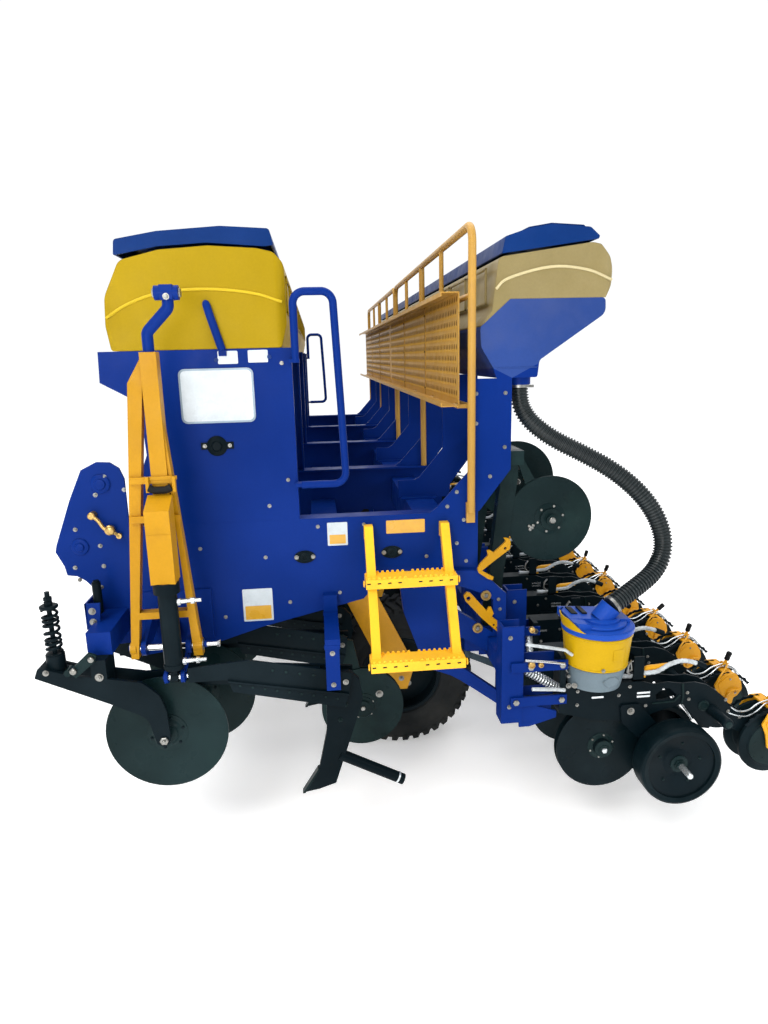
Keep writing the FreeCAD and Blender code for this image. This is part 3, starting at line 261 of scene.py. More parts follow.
material("black_paint", (0.0018, 0.0068, 0.0100), rough=0.38, vary=0.30, vary_scale=3.0, bump=0.12, bevel=0.0018, dust=0.01, dust_col=(0.12, 0.11, 0.08), spec=0.05)
material("pale_tube", (0.46, 0.50, 0.52), rough=0.5, vary=0.25, vary_scale=40.0, bump=0.3, bevel=0.0, second=(0.12, 0.14, 0.15), second_amount=0.6, second_scale=60.0)
material("black_rubber", (0.006, 0.007, 0.008), rough=0.55, vary=0.15, bump=0.12, bevel=0.001, spec=0.12)
material("blank_label", (0.50, 0.56, 0.60), rough=0.30, coat=0.3, vary=0.06, vary_scale=18.0, bump=0.0, bevel=0.0, second=(0.36, 0.42, 0.48), second_amount=0.3, second_scale=25.0)
material("blank_label_amber", (0.62, 0.33, 0.02), rough=0.32, coat=0.3, vary=0.06, vary_scale=18.0, bump=0.0, bevel=0.0, second=(0.45, 0.25, 0.05), second_amount=0.3, second_scale=25.0)
material("plate_rim", (0.20, 0.26, 0.32), rough=0.35, metal=0.4, vary=0.1, bump=0.05)
material("bar_grey", (0.030, 0.048, 0.060), rough=0.40, vary=0.2, vary_scale=4.0, bump=0.1, bevel=0.001, spec=0.1)
# the machine's yellow made much brighter for the ladders alone: painted light, lifting them out of the shade they fall
# in
material("ladder_yellow_painted_light", (0.92, 0.50, 0.022), rough=0.38, vary=0.10, vary_scale=2.2, second=(0.62, 0.30, 0.02), second_amount=0.35, spec=0.2)
# dark brown: painted shade in the walkway louvres' openings, and the colour of the dark seams at the panel joints
material("slot_shade_and_seam_brown", (0.075, 0.038, 0.010), rough=0.6, vary=0.2, vary_scale=8.0, bump=0.0, bevel=0.0, spec=0.05)
# lighter than the hopper yellow: a painted highlight for the fertilizer hoppers' moulded ridges
material("ridge_highlight_yellow", (0.62, 0.44, 0.02), rough=0.4, vary=0.1, bump=0.0, bevel=0.0, spec=0.1)
# lighter than the cream plastic: a painted highlight for the seed hoppers' moulded ridges
material("ridge_highlight_cream", (0.56, 0.48, 0.27), rough=0.4, vary=0.1, bump=0.0, bevel=0.0, spec=0.12)
material("base_blue", (0.020, 0.052, 0.215), rough=0.42, vary=0.22, vary_scale=1.2, dust=0.01, spec=0.1, second=(0.060, 0.085, 0.22), second_amount=0.6, second_scale=1.4)
# the machine's yellow made darker for the marker arms, rods and depth latches: painted shade
material("marker_yellow_painted_shade", (0.50, 0.245, 0.003), rough=0.36, vary=0.12, vary_scale=2.2, second=(0.36, 0.16, 0.008), second_amount=0.35, spec=0.15)
material("bright_edge", (0.62, 0.66, 0.68), rough=0.25, metal=0.8, vary=0.15, vary_scale=20.0, bump=0.08, bevel=0.0005)


def mat_of(name):
    return MATS[name]


def dress(node, name):
    o = N[node]
    o.data.materials.clear()
    o.data.materials.append(MATS[name])


FINISH = {
    "blue_paint": ["frame_plates", "cross_beams", "hopper_stands", "rear_towers", "transmission_plates", "blue_handrails",
                   "marker_brackets", "beam_links", "toolbar_arms", "rear_toolbar", "drawbar", "jack_leg", "parallel_arms"],
    "cap_blue": ["small_hopper_cap"],
    "blue_plastic": ["fertilizer_lid_%d" % i for i in (1, 2, 3, 4)] + ["seed_lid_%d" % i for i in (1, 2, 3, 4)],
    "yellow_paint": ["closing_brackets", "wheel_arms"],
    # the ladders get the brightened yellow: painted light
    "ladder_yellow_painted_light": ["ladders"],
    # the darkened yellow: painted shade
    "marker_yellow_painted_shade": ["marker_arm_left", "marker_arm_right", "marker_rod_left", "marker_rod_right", "depth_latches"],
    "deck_paint": ["walkway_deck_left", "walkway_deck_right", "walkway_rail"],
    "hopper_yellow": ["fertilizer_hoppers"],
    "bucket_yellow": ["small_hopper"],
    "cream_plastic": ["seed_hoppers"],
    "grey_plastic": ["seed_meter"],
    "tyre_rubber": ["transport_tyre_%d" % i for i in (1, 2, 3, 4)],
    "wheel_rubber": ["gauge_tyres", "closing_wheels"],
    "hose_plastic": ["seed_hose"],
    "disc_steel": ["coulters_front", "coulters_rear", "raised_openers", "fertilizer_discs"],
    "opener_steel": ["opener_discs"],
}
done = set()
for k, names in FINISH.items():
    for n in names:
        if n in N:
            dress(n, k)
            done.add(n)
for n in N:
    if n not in done:
        dress(n, "black_paint")


def second_finish(node, name, test):
    """Paint the faces of a node whose middle passes the test with another finish."""
    o = N[node]
    o.data.materials.append(MATS[name])
    k = len(o.data.materials) - 1
    mw = o.matrix_world
    for p in o.data.polygons:
        if test(mw @ p.center):
            p.material_index = k


for sd in ("left", "right"):
    # the bent top of the marker arm is blue, the cylinder's eye is steel, its guard's foot black
    second_finish("marker_arm_" + sd, "blue_paint", lambda c: c.z > q(0, 0, 2010.5).z)
    second_finish("marker_rod_" + sd, "black_paint", lambda c: c.z < q(0, 0, 1191.5).z)
    second_finish("marker_rod_" + sd, "chromed_rod", lambda c: c.z > q(0, 0, 1378.5).z)


GX, GZ = q(1408, 0, 320).x, q(1408, 0, 320).z
second_finish("row_frames", "bright_edge", lambda c: abs(c.x - GX) < 0.013 and abs(c.z - GZ) < 0.013 and min(abs(c.y - y * 1e-3) for y in ROW_Y) > 0.06)
second_finish("rear_towers", "base_blue", lambda c: c.z > q(0, 0, 1905).z)
second_finish("closing_brackets", "black_rubber", lambda c: c.z > q(0, 0, 537).z)


# ------------------------------------------------------------------ mesh helpers
def frame_of(d):
    d = Vector(d).normalized()
    a = Vector((0, 0, 1)) if abs(d.z) < 0.9 else Vector((1, 0, 0))
    u = d.cross(a).normalized()
    return u, d.cross(u).normalized(), d


class G:
    """Gathers the faces of one piece, given in the drawing's millimetres."""

    def __init__(self):
        self.v, self.f, self.sm = [], [], []

    def add(self, verts, faces, smooth=False):
        n = len(self.v)
        self.v += [Vector(p) for p in verts]
        self.f += [tuple(i + n for i in f) for f in faces]
        self.sm += [smooth] * len(faces)

    def box(self, x0, x1, y0, y1, z0, z1):
        v = [(x, y, z) for x in (x0, x1) for y in (y0, y1) for z in (z0, z1)]
        self.add(v, [(0, 1, 3, 2), (4, 6, 7, 5), (0, 4, 5, 1), (2, 3, 7, 6), (0, 2, 6, 4), (1, 5, 7, 3)])

    def obox(self, c, ax, ay, az):
        """Box about centre c with half-axes ax, ay, az."""
        c, ax, ay, az = Vector(c), Vector(ax), Vector(ay), Vector(az)
        v = [c + i * ax + j * ay + k * az for i in (-1, 1) for j in (-1, 1) for k in (-1, 1)]
        self.add(v, [(0, 1, 3, 2), (4, 6, 7, 5), (0, 4, 5, 1), (2, 3, 7, 6), (0, 2, 6, 4), (1, 5, 7, 3)])

    def prism(self, pts, y0, y1):
        n = len(pts)
        v = [(p[0], y0, p[1]) for p in pts] + [(p[0], y1, p[1]) for p in pts]
        f = [tuple(range(n))[::-1], tuple(range(n, 2 * n))] + [(i, (i + 1) % n, n + (i + 1) % n, n + i) for i in range(n)]
        self.add(v, f)

    def lathe(self, c, d, prof, n=32, smooth=True, closed=False):
        """Outline (radius, along) turned about direction d through c."""
        u, w, d = frame_of(d)
        c = Vector(c)
        v, f = [], []
        m = len(prof)
        for i in range(n):
            t = 2 * math.pi * i / n
            e = u * math.cos(t) + w * math.sin(t)
            for (r, a) in prof:
                v.append(c + e * r + d * a)
        last = m if closed else m - 1
        for i in range(n):
            j = (i + 1) % n
            for k in range(last):
                k2 = (k + 1) % m
                f.append((i * m + k, j * m + k, j * m + k2, i * m + k2))
        self.add(v, f, smooth)

    def disc(self, c, d, prof, n=32):
        """Turned piece closed on its axis at both ends (first and last radius 0 are added)."""
        u, w, d = frame_of(d)
        c = Vector(c)
        v, f = [], []
        for (r, a) in prof:
            for i in range(n):
                t = 2 * math.pi * i / n
                v.append(c + (u * math.cos(t) + w * math.sin(t)) * r + d * a)
        m = len(prof)
        for k in range(m - 1):
            for i in range(n):
                j = (i + 1) % n
                f.append((k * n + i, k * n + j, (k + 1) * n + j, (k + 1) * n + i))
        v.append(c + d * prof[0][1])
        v.append(c + d * prof[-1][1])
        for i in range(n):
            j = (i + 1) % n
            f.append((m * n, j, i))
            f.append((m * n + 1, (m - 1) * n + i, (m - 1) * n + j))
        self.add(v, f, True)

    def cyl(self, a, b, r, n=16, r2=None, chamfer=0.0):
        a, b = Vector(a), Vector(b)
        L = (b - a).length
        r2 = r if r2 is None else r2
        if chamfer > 0:
            prof = [(r - chamfer, 0), (r, chamfer), (r2, L - chamfer), (r2 - chamfer, L)]
        else:
            prof = [(r, 0), (r2, L)]
        self.disc(a, b - a, prof, n)

    def bolt(self, p, d, r=10.0, h=7.0, washer=True, stud=True):
        """Hexagon head on a washer, with a thread end."""
        p, d = Vector(p), Vector(d).normalized()
        if washer:
            self.disc(p, d, [(r * 1.42, 0), (r * 1.42, 2.2)], 16)
            p = p + d * 2.2
        self.disc(p, d, [(r, 0), (r, h * 0.8), (r * 0.86, h)], 6)
        if stud:
            self.disc(p + d * h, d, [(r * 0.5, 0), (r * 0.5, h * 0.35), (r * 0.4, h * 0.45)], 8)

    def tube(self, pts, r, n=10, caps=True):
        """Round tube through points; r is a number or one radius a point."""
        P = [Vector(p) for p in pts]
        m = len(P)
        v, f = [], []
        t0 = (P[1] - P[0]).normalized()
        u, w, _ = frame_of(t0)
        for i in range(m):
            t = (P[min(i + 1, m - 1)] - P[max(i - 1, 0)]).normalized()
            u = (u - t * u.dot(t)).normalized()
            w = t.cross(u)
            ri = r[i] if isinstance(r, (list, tuple)) else r
            for k in range(n):
                a = 2 * math.pi * k / n
                v.append(P[i] + (u * math.cos(a) + w * math.sin(a)) * ri)
        for i in range(m - 1):
            for k in range(n):
                k2 = (k + 1) % n
                f.append((i * n + k, i * n + k2, (i + 1) * n + k2, (i + 1) * n + k))
        if caps:
            f.append(tuple(range(n))[::-1])
            f.append(tuple((m - 1) * n + k for k in range(n)))
        self.add(v, f, True)

    def ring(self, c, d, R, r, n=32, k=8):
        prof = [(R + r * math.cos(2 * math.pi * i / k), r * math.sin(2 * math.pi * i / k)) for i in range(k)]
        self.lathe(c, d, prof, n, True, True)

    def mirrored(self):
        n = len(self.v)
        self.v += [Vector((p.x, -p.y, p.z)) for p in self.v]
        self.f += [tuple(i + n for i in reversed(f)) for f in self.f]
        self.sm += self.sm
        return self

    def moved(self, dy, flip=False):
        """A copy carried along Y, mirrored first where flip is set."""
        g = G()
        s = -1.0 if flip else 1.0
        g.v = [Vector((p.x, p.y * s + dy, p.z)) for p in self.v]
        g.f = [tuple(reversed(f)) if flip else f for f in self.f]
        g.sm = list(self.sm)
        return g

    def take(self, o):
        n = len(self.v)
        self.v += o.v
        self.f += [tuple(i + n for i in f) for f in o.f]
        self.sm += o.sm
        return self

    def obj(self, name, mat, body, bevel=0.0, slot=None, angle=35.0):
        me = bpy.data.meshes.new(name)
        me.from_pydata([q(*p) for p in self.v], [], self.f)
        bm = bmesh.new()
        bm.from_mesh(me)
        bmesh.ops.recalc_face_normals(bm, faces=bm.faces)
        bm.to_mesh(me)
        bm.free()
        me.shade_smooth()
        me.set_sharp_from_angle(angle=math.radians(angle))
        o = bpy.data.objects.new(name, me)
        bpy.context.scene.collection.objects.link(o)
        me.materials.append(MATS[mat])
        if bevel > 0:
            b = o.modifiers.new("edge", "BEVEL")
            b.width = bevel
            b.segments = 2
            b.limit_method = "ANGLE"
            b.angle_limit = math.radians(40)
        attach(o, body)
        return o


def catmull(pts, k=8):
    """Smooth line through points."""
    P = [Vector(p) for p in pts]
    P = [P[0] * 2 - P[1]] + P + [P[-1] * 2 - P[-2]]
    out = []
    for i in range(1, len(P) - 2):
        for j in range(k):
            t = j / k
            a, b, c, d = P[i - 1], P[i], P[i + 1], P[i + 2]
            out.append(0.5 * ((2 * b) + (c - a) * t + (2 * a - 5 * b + 4 * c - d) * t * t + (3 * b - a - 3 * c + d) * t ** 3))
    out.append(P[-2])
    return out


# ------------------------------------------------------------------ seed hose
HOSE = [(838, -2480, 1849), (838, -2480, 1782), (866, -2497, 1716), (918, -2522, 1662), (984, -2550, 1616),
        (1078, -2582, 1568), (1172, -2614, 1514), (1255, -2642, 1452), (1324, -2668, 1378), (1371, -2691, 1296),
        (1390, -2711, 1214), (1376, -2731, 1142), (1330, -2752, 1084), (1262, -2772, 1044), (1202, -2787, 1011),
        (1141, -2800, 974)]
HOSE_R = 0.038


def hose_curve(name, bevel):
    cu = bpy.data.curves.new(name, "CURVE")
    cu.dimensions = "3D"
    sp = cu.splines.new("NURBS")
    sp.points.add(len(HOSE) - 1)
    for i, p in enumerate(HOSE):
        sp.points[i].co = (*q(*p), 1.0)
    sp.order_u = 3
    sp.use_endpoint_u = True
    sp.resolution_u = 16
    cu.bevel_depth = bevel
    cu.bevel_resolution = 8
    cu.use_fill_caps = True
    return cu


line = bpy.data.objects.new("hose_line", hose_curve("hose_line", 0.0))
bpy.context.scene.collection.objects.link(line)
bpy.context.view_layer.update()
tmp = bpy.data.meshes.new_from_object(line)
HOSE_PTS = [v.co.copy() for v in tmp.vertices]
bpy.data.objects.remove(line)
bpy.data.meshes.remove(tmp)
hose = bpy.data.objects.new("corrugated_seed_hose", hose_curve("corrugated_seed_hose", HOSE_R - 0.0002))
bpy.data.objects.remove(hose)

# corrugated wall: the line's own points, with the radius going in and out
arc = [0.0]
for i in range(1, len(HOSE_PTS)):
    arc.append(arc[-1] + (HOSE_PTS[i] - HOSE_PTS[i - 1]).length)
HLEN = arc[-1]


def hose_at(s):
    s = min(max(s, 0.0), HLEN)
    i = 1
    while i < len(arc) - 1 and arc[i] < s:
        i += 1
    t = (s - arc[i - 1]) / max(arc[i] - arc[i - 1], 1e-9)
    return HOSE_PTS[i - 1].lerp(HOSE_PTS[i], t)


RIBS = 98
pts, rad = [], []
pitch = HLEN / RIBS
for k in range(RIBS):
    for (t, r) in ((0.0, 0.0318), (0.26, 0.0318), (0.38, 0.0376), (0.52, 0.0380), (0.76, 0.0376), (0.90, 0.0318)):
        pts.append(hose_at((k + t) * pitch))
        rad.append(r)
pts.append(hose_at(HLEN))
rad.append(0.0318)
hv, hf = [], []
NS = 24
u = None
for i, p in enumerate(pts):
    t = (pts[min(i + 1, len(pts) - 1)] - pts[max(i - 1, 0)]).normalized()
    if u is None:
        u = t.cross(Vector((0, 1, 0))).normalized()
    u = (u - t * u.dot(t)).normalized()
    w = t.cross(u)
    for k in range(NS):
        a = 2 * math.pi * k / NS
        hv.append(p + (u * math.cos(a) + w * math.sin(a)) * rad[i])
for i in range(len(pts) - 1):
    for k in range(NS):
        k2 = (k + 1) % NS
        hf.append((i * NS + k, i * NS + k2, (i + 1) * NS + k2, (i + 1) * NS + k))
hf.append(tuple(range(NS))[::-1])
hf.append(tuple((len(pts) - 1) * NS + k for k in range(NS)))
me = bpy.data.meshes.new("corrugated_seed_hose")
me.from_pydata(hv, [], hf)
bm = bmesh.new()
bm.from_mesh(me)
bmesh.ops.recalc_face_normals(bm, faces=bm.faces)
bm.to_mesh(me)
bm.free()
me.shade_smooth()
me.set_sharp_from_angle(angle=math.radians(32))
hose = bpy.data.objects.new("corrugated_seed_hose", me)
bpy.context.scene.collection.objects.link(hose)
me.materials.append(MATS["hose_plastic"])
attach(hose, "root")
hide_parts("seed_hose")

# ------------------------------------------------------------------ hopper details
PI2 = 2 * math.pi
# clamp bands at both ends of the hose
g = G()
d0 = (Vector(HOSE[1]) - Vector(HOSE[0])).normalized()
g.lathe(Vector(HOSE[0]) + d0 * -3, d0, [(39, 0), (41.5, 1), (41.5, 15), (39, 16)], 40, True, True)
g.box(878, 900, -2486, -2474, 1835, 1846)
d1 = (Vector(HOSE[-1]) - Vector(HOSE[-2])).normalized()
g.lathe(Vector(HOSE[-1]) - d1 * 16, d1, [(39, 0), (41.5, 1), (41.5, 13), (39, 14)], 40, True, True)
g.obj("hose_clamps", "zinc", "root")


def poly_band(pts, y0, y1, w, t):
    """A raised strip of width w that follows an outline in the XZ plane, reaching from y0 to y1; t is not used."""
    g = G()
    P = [Vector((p[0], 0, p[1])) for p in pts]
    for i in range(len(P) - 1):
        a, b = P[i], P[i + 1]
        d = (b - a).normalized()
        n = Vector((-d.z, 0, d.x)) * (w / 2)
        v = [(p.x, y, p.z) for y in (y0, y1) for p in (a - n, b - n, b + n, a + n)]
        g.add(v, [(0, 1, 2, 3), (7, 6, 5, 4), (0, 4, 5, 1), (1, 5, 6, 2), (2, 6, 7, 3), (3, 7, 4, 0)])
    return g


# moulded ridge across each end of the fertilizer hoppers, in a lighter yellow as a painted highlight along its crest,
# and the short blue stay on it
line_f = catmull([(-771, 0, 2140), (-690, 0, 2188), (-567, 0, 2228), (-397, 0, 2239), (-227, 0, 2222), (-116, 0, 2188)], 5)
g = G()
g.tube([(p.x, -2557.0, p.z) for p in line_f], 5.5, 8)
g.mirrored()
g.obj("fertilizer_hopper_ridges", "ridge_highlight_yellow", "root")
g = G()
g.tube([(-403, -2566, 2196), (-401, -2568, 2191), (-398, -2569, 2182), (-390, -2570, 2150), (-372, -2568, 2084), (-352, -2566, 2014)], [6, 12, 15, 15.5, 15.5, 15.5], 14)
g.obox((-352, -2560, 2004), (15, 0, 0), (0, 4, 0), (0, 0, 12))
g.mirrored()
g.obj("hopper_stays", "blue_paint", "root", bevel=0.001)
# moulded ridge across each end of the seed hoppers, in a lighter cream as a painted highlight
line_s = catmull([(716, 0, 2222), (766, 0, 2262), (932, 0, 2302), (1080, 0, 2290), (1183, 0, 2250)], 5)
g = G()
g.tube([(p.x, -2557.0, p.z) for p in line_s], 5.5, 8)
g.mirrored()
g.obj("seed_hopper_ridges", "ridge_highlight_cream", "root")

# framed panels moulded into the front and rear walls of the hoppers
g, gf = G(), G()
for a, b in zip(FRAME_Y[:-1], FRAME_Y[1:]):
    for k in range(3):
        ya = a + 70 + k * 385
        yb = ya + 345
        # seed hopper, walkway side
        for (y0, y1, z0, z1) in ((ya, yb, 2168, 2178), (ya, yb, 2300, 2310), (ya, ya + 10, 2168, 2310), (yb - 10, yb, 2168, 2310)):
            g.box(690, 699.5, y0, y1, z0, z1)
        g.box(1186, 1193, ya, yb, 2286, 2292) if False else None
        # fertilizer hopper, walkway side
        for (y0, y1, z0, z1) in ((ya, yb, 2150, 2160), (ya, yb, 2280, 2290), (ya, ya + 10, 2150, 2290), (yb - 10, yb, 2150, 2290)):
            gf.box(-103.5, -96, y0, y1, z0, z1)
g.obj("seed_hopper_panels", "cream_plastic", "root", bevel=0.002)
gf.obj("fertilizer_hopper_panels", "hopper_yellow", "root", bevel=0.002)

# ------------------------------------------------------------------ blank plate and labels on the left and right sides
def rounded(x0, x1, z0, z1, r, n=6):
    out = []
    for cx, cz, a0 in ((x1 - r, z1 - r, 0), (x0 + r, z1 - r, 90), (x0 + r, z0 + r, 180), (x1 - r, z0 + r, 270)):
        for i in range(n + 1):
            t = math.radians(a0 + 90.0 * i / n)
            out.append((cx + r * math.cos(t), cz + r * math.sin(t)))
    return out


g = G()
g.prism(rounded(-527, -241, 1737, 1947, 24), -2559.5, -2556)
g.mirrored()
g.obj("side_plates_rim", "plate_rim", "root", bevel=0.0006)
g = G()
g.prism(rounded(-519, -249, 1745, 1939, 18), -2560.6, -2559.3)
g.mirrored()
g.obj("side_plates_face", "blank_label", "root", bevel=0.0003)
g = G()
for (x0, x1, z0, z1) in ((-372, -296, 1962, 2011), (-257, -181, 1965, 2012), (18, 101, 1216, 1314), (-345, -222, 905, 1046)):
    g.prism(rounded(x0, x1, z0, z1, 4, 3), -2557.2, -2556)
g.mirrored()
g.obj("blank_labels", "blank_label", "root")
g = G()
for (x0, x1, z0, z1) in ((262, 424, 1256, 1312), (-337, -230, 912, 972), (26, 93, 1223, 1262)):
    g.prism(rounded(x0, x1, z0, z1, 3, 3), -2557.7, -2557.0)
g.mirrored()
g.obj("blank_labels_amber", "blank_label_amber", "root")

# bearing cover and its bolts, oval covers, bolts of the side plates
g, gz = G(), G()
g.disc((-400, -2556, 1647), (0, -1, 0), [(40, 0), (40, 4), (36, 7), (22, 9), (20, 14), (16, 17)], 32)
for x in (-447, -350):
    g.obox((x, -2558, 1648), (15, 0, 0), (0, 2.5, 0), (0, 0, 14))
    gz.bolt((x, -2560, 1648), (0, -1, 0), 5.5, 4.5)
for (x, z) in ((-79, 1174), (284, 1176)):
    g.prism([(x + 44 * math.cos(PI2 * i / 28), z + 27 * math.sin(PI2 * i / 28)) for i in range(28)], -2560, -2556)
    g.disc((x, -2560, z), (0, -1, 0), [(23, 0), (23, 6), (18, 9), (9, 9), (8, 5)], 28)
    for s in (-1, 1):
        gz.bolt((x + s * 34, -2560, z), (0, -1, 0), 6.5, 5, True, False)
for (x, z) in ((-211, 1396), (-600, 1396), (-640, 1200), (-700, 1300), (-150, 980), (60, 1010), (-500, 1230), (190, 1230), (-20, 1300), (500, 1290),
               (590, 1300), (600, 1120), (560, 1200), (170, 1300), (-240, 1180), (430, 1150), (-420, 930)):
    gz.bolt((x, -2556, z), (0, -1, 0), 5.6, 4.5)
for (x, z) in ((-979, 1334), (-998, 1177), (-844, 1542), (-886, 1471), (-774, 1487), (-891, 1263), (-986, 1125), (-886, 1178), (-905, 1090)):
    gz.bolt((x, -2556, z), (0, -1, 0), 6.2, 5)
# lower bolts of the front toolbar brackets
for (x, z) in ((-904, 1040), (-904, 996)):
    gz.bolt((x, -2700, z), (0, -1, 0), 10, 7)
g.mirrored()
g.obj("side_covers", "black_paint", "root", bevel=0.0008)
gz.mirrored()
gz.obj("side_bolts", "zinc", "root")

# round covers on the transmission plates, a crank and its pin
g = G()
for (x, z, r) in ((-862, 1514, 38), (-968, 1263, 34)):
    g.disc((x, -2556, z), (0, -1, 0), [(r, 0), (r, 5), (r - 5, 8), (r - 16, 8), (r - 18, 14), (8, 16)], 32)
g.mirrored()
g.obj("transmission_covers", "blue_paint", "root", bevel=0.001)
g = G()
g.tube(catmull([(-902, -2582, 1392), (-880, -2584, 1374), (-858, -2586, 1340), (-836, -2584, 1330), (-806, -2580, 1306)], 6), 7.5, 10)
g.disc((-902, -2556, 1392), (0, -1, 0), [(15, 0), (15, 32), (11, 35)], 20)
g.disc((-838, -2570, 1332), (0, -1, 0), [(18, 0), (20, 4), (20, 20), (14, 24)], 20)
g.disc((-806, -2572, 1306), (0, -1, 0), [(11, 0), (11, 14)], 16)
g.mirrored()
g.obj("drive_cranks", "brass_zinc", "root", bevel=0.0008)

# ------------------------------------------------------------------ front toolbar end: stub and bracket
for s, nm in ((1, "left"), (-1, "right")):
    g = G()
    g.tube([(-890, -2690 + 30, 1020), (-890, -2690 + 30, 1144)], 17, 20)
    g.disc((-890, -2660, 1144), (0, 0, 1), [(12, 0), (12, 8)], 20)
    if s < 0:
        for p in g.v:
            p.y = -p.y
    g.obj("toolbar_stub_" + nm, "black_paint", "root", bevel=0.0008)
    g = G()
    g.prism([(-932, 1071), (-872, 1071), (-880, 965), (-924, 965)], -2700, -2692)
    g.box(-924, -880, -2692, -2560, 965, 973)
    g.box(-932, -924, -2700, -2560, 965, 1071)
    if s < 0:
        for p in g.v:
            p.y = -p.y
    g.obj("toolbar_end_bracket_" + nm, "blue_paint", "root", bevel=0.001)

# ------------------------------------------------------------------ coulter springs, coiled
g = G()
gc = G()
for ys, dx in ((FRONT_ROWS, 0.0), (REAR_ROWS, 75.0)):
    for y in ys:
        s = row_sign(y)
        cx, cy = -1018 + dx, y - 10 * s
        turns, n = 7.6, 22
        coil = []
        tot = int(turns * n)
        for i in range(tot + 1):
            t = i / tot
            # close-wound ends, open middle
            z = 926 + 172 * (t + 0.035 * math.sin(2 * PI2 * t))
            z = min(max(z, 926), 1098)
            a = PI2 * turns * t
            coil.append((cx + 25.5 * math.cos(a), cy + 25.5 * math.sin(a), z))
        g.tube(coil, 5.6, 7)
        gc.tube([(cx, cy, 921), (cx, cy, 1165)], 9, 12)
        gc.disc((cx, cy, 1102), (0, 0, 1), [(31, 0), (33, 3), (33, 9), (29, 12)], 20)
        gc.disc((cx, cy, 1114), (0, 0, 1), [(15, 0), (15, 14), (13, 16)], 6)
        gc.disc((cx, cy, 1132), (0, 0, 1), [(15, 0), (15, 12), (13, 14)], 6)
        gc.disc((cx, cy, 921), (0, 0, 1), [(31, 0), (31, 5)], 20)
o = g.obj("coulter_spring_coils", "black_paint", "root")
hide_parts("coulter_springs")
gc.obj("coulter_spring_rods", "black_paint", "root")

# ------------------------------------------------------------------ coulters: hubs with bolts
for node_name, ys, (cx, cz) in (("coulters_front", FRONT_ROWS, (-641.0, 560.0)), ("coulters_rear", REAR_ROWS, (-566.0, 546.0))):
    g, gz = G(), G()
    for y in ys:
        for s in (-1, 1):
            g.disc((cx, y + s * 2.4, cz), (0, s, 0), [(78, 0), (78, 2), (60, 4), (58, 5), (46, 12), (42, 20)], 36)
            for k in range(6):
                a = PI2 * k / 6 + 0.3
                gz.bolt((cx + 64 * math.cos(a), y + s * 5.5, cz + 64 * math.sin(a)), (0, s, 0), 6.0, 4.5, False, False)
    g.obj(node_name + "_hub_plates", "disc_steel", node_name, bevel=0.0)
    gz.obj(node_name + "_hub_bolts", "black_paint", node_name)

# ------------------------------------------------------------------ row beams: perforations, spindle nuts, braces
g, gz, gb = G(), G(), G()
for ys, dx, dz in ((FRONT_ROWS, 0.0, 0.0), (REAR_ROWS, 75.0, -14.0)):
    for y in ys:
        s = row_sign(y)
        def Y(v):
            return y + s * v
        f0 = Y(-66)
        gz.disc((-641 + dx, f0, 560 + dz), (0, -s, 0), [(17, 0), (17, 4), (14, 6)], 6)
        gz.disc((-641 + dx, f0 - s * 6, 560 + dz), (0, -s, 0), [(7, 0), (7, 8), (5, 10)], 12)
        # holes along the plate's upper and lower strips, each with its pressed rim
        for k in range(6):
            x = -215 + k * 51
            z = 838 - (x + 300) * 0.2073
            g.lathe((x, Y(-62), z), (0, -s, 0), [(8, 0), (8, 1.2), (5.5, 1.2), (5.5, 0.3)], 14, True, False)
            gb.disc((x, Y(-62.1), z), (0, -s, 0), [(5.8, 0), (5.8, 0.6)], 14)
        for k in range(9):
            x = -340 + k * 46
            z = 765 - (x + 340) * 0.2205
            g.lathe((x, Y(-62), z), (0, -s, 0), [(7.5, 0), (7.5, 1.2), (5, 1.2), (5, 0.3)], 12, True, False)
            gb.disc((x, Y(-62.1), z), (0, -s, 0), [(5.4, 0), (5.4, 0.6)], 12)
        gz.bolt((62, Y(-62), 752), (0, -s, 0), 8, 6)
        gz.bolt((-852, Y(-62), 838), (0, -s, 0), 11, 8)
        gz.bolt((-1040 + dx, Y(-62), 868 + dz), (0, -s, 0), 8, 6)
        # clamp brace from the arm up to the front toolbar, with its round bushes
        gb.prism([(-962, 868), (-942, 884), (-878, 942), (-850, 930), (-858, 905), (-930, 846)], Y(-74), Y(-63))
        gb.tube([(-958, Y(-30), 868), (-958, Y(-78), 868)], 13, 14)
        gz.disc((-935, Y(-75), 876), (0, -s, 0), [(12, 0), (12, 10), (9, 12)], 16)
        gz.disc((-868, Y(-75), 918), (0, -s, 0), [(11, 0), (11, 8), (8, 10)], 16)
g.obj("row_beam_hole_rims", "black_paint", "root")
gb.obj("row_beam_clamps", "disc_steel", "root", bevel=0.0006)
gz.obj("row_beam_bolts", "zinc", "root")

# ------------------------------------------------------------------ blue beam links: collar on top, bolt at the bottom
g, gz = G(), G()
for i, y in enumerate(ROW_Y):
    s = row_sign(y)
    out = i in (0, 16)
    yf = y - s * 74
    g.box(-15, 45, min(yf, yf + s * 12) - 2, max(yf, yf + s * 12) + 2, 896, 912)
    gz.bolt((15, yf, 750), (0, -s, 0), 7, 5)
    gz.bolt((15, yf, 880 if out else 930), (0, -s, 0), 7, 5)
g.obj("beam_link_collars", "blue_paint", "root", bevel=0.0015)
gz.obj("beam_link_bolts", "zinc", "root")

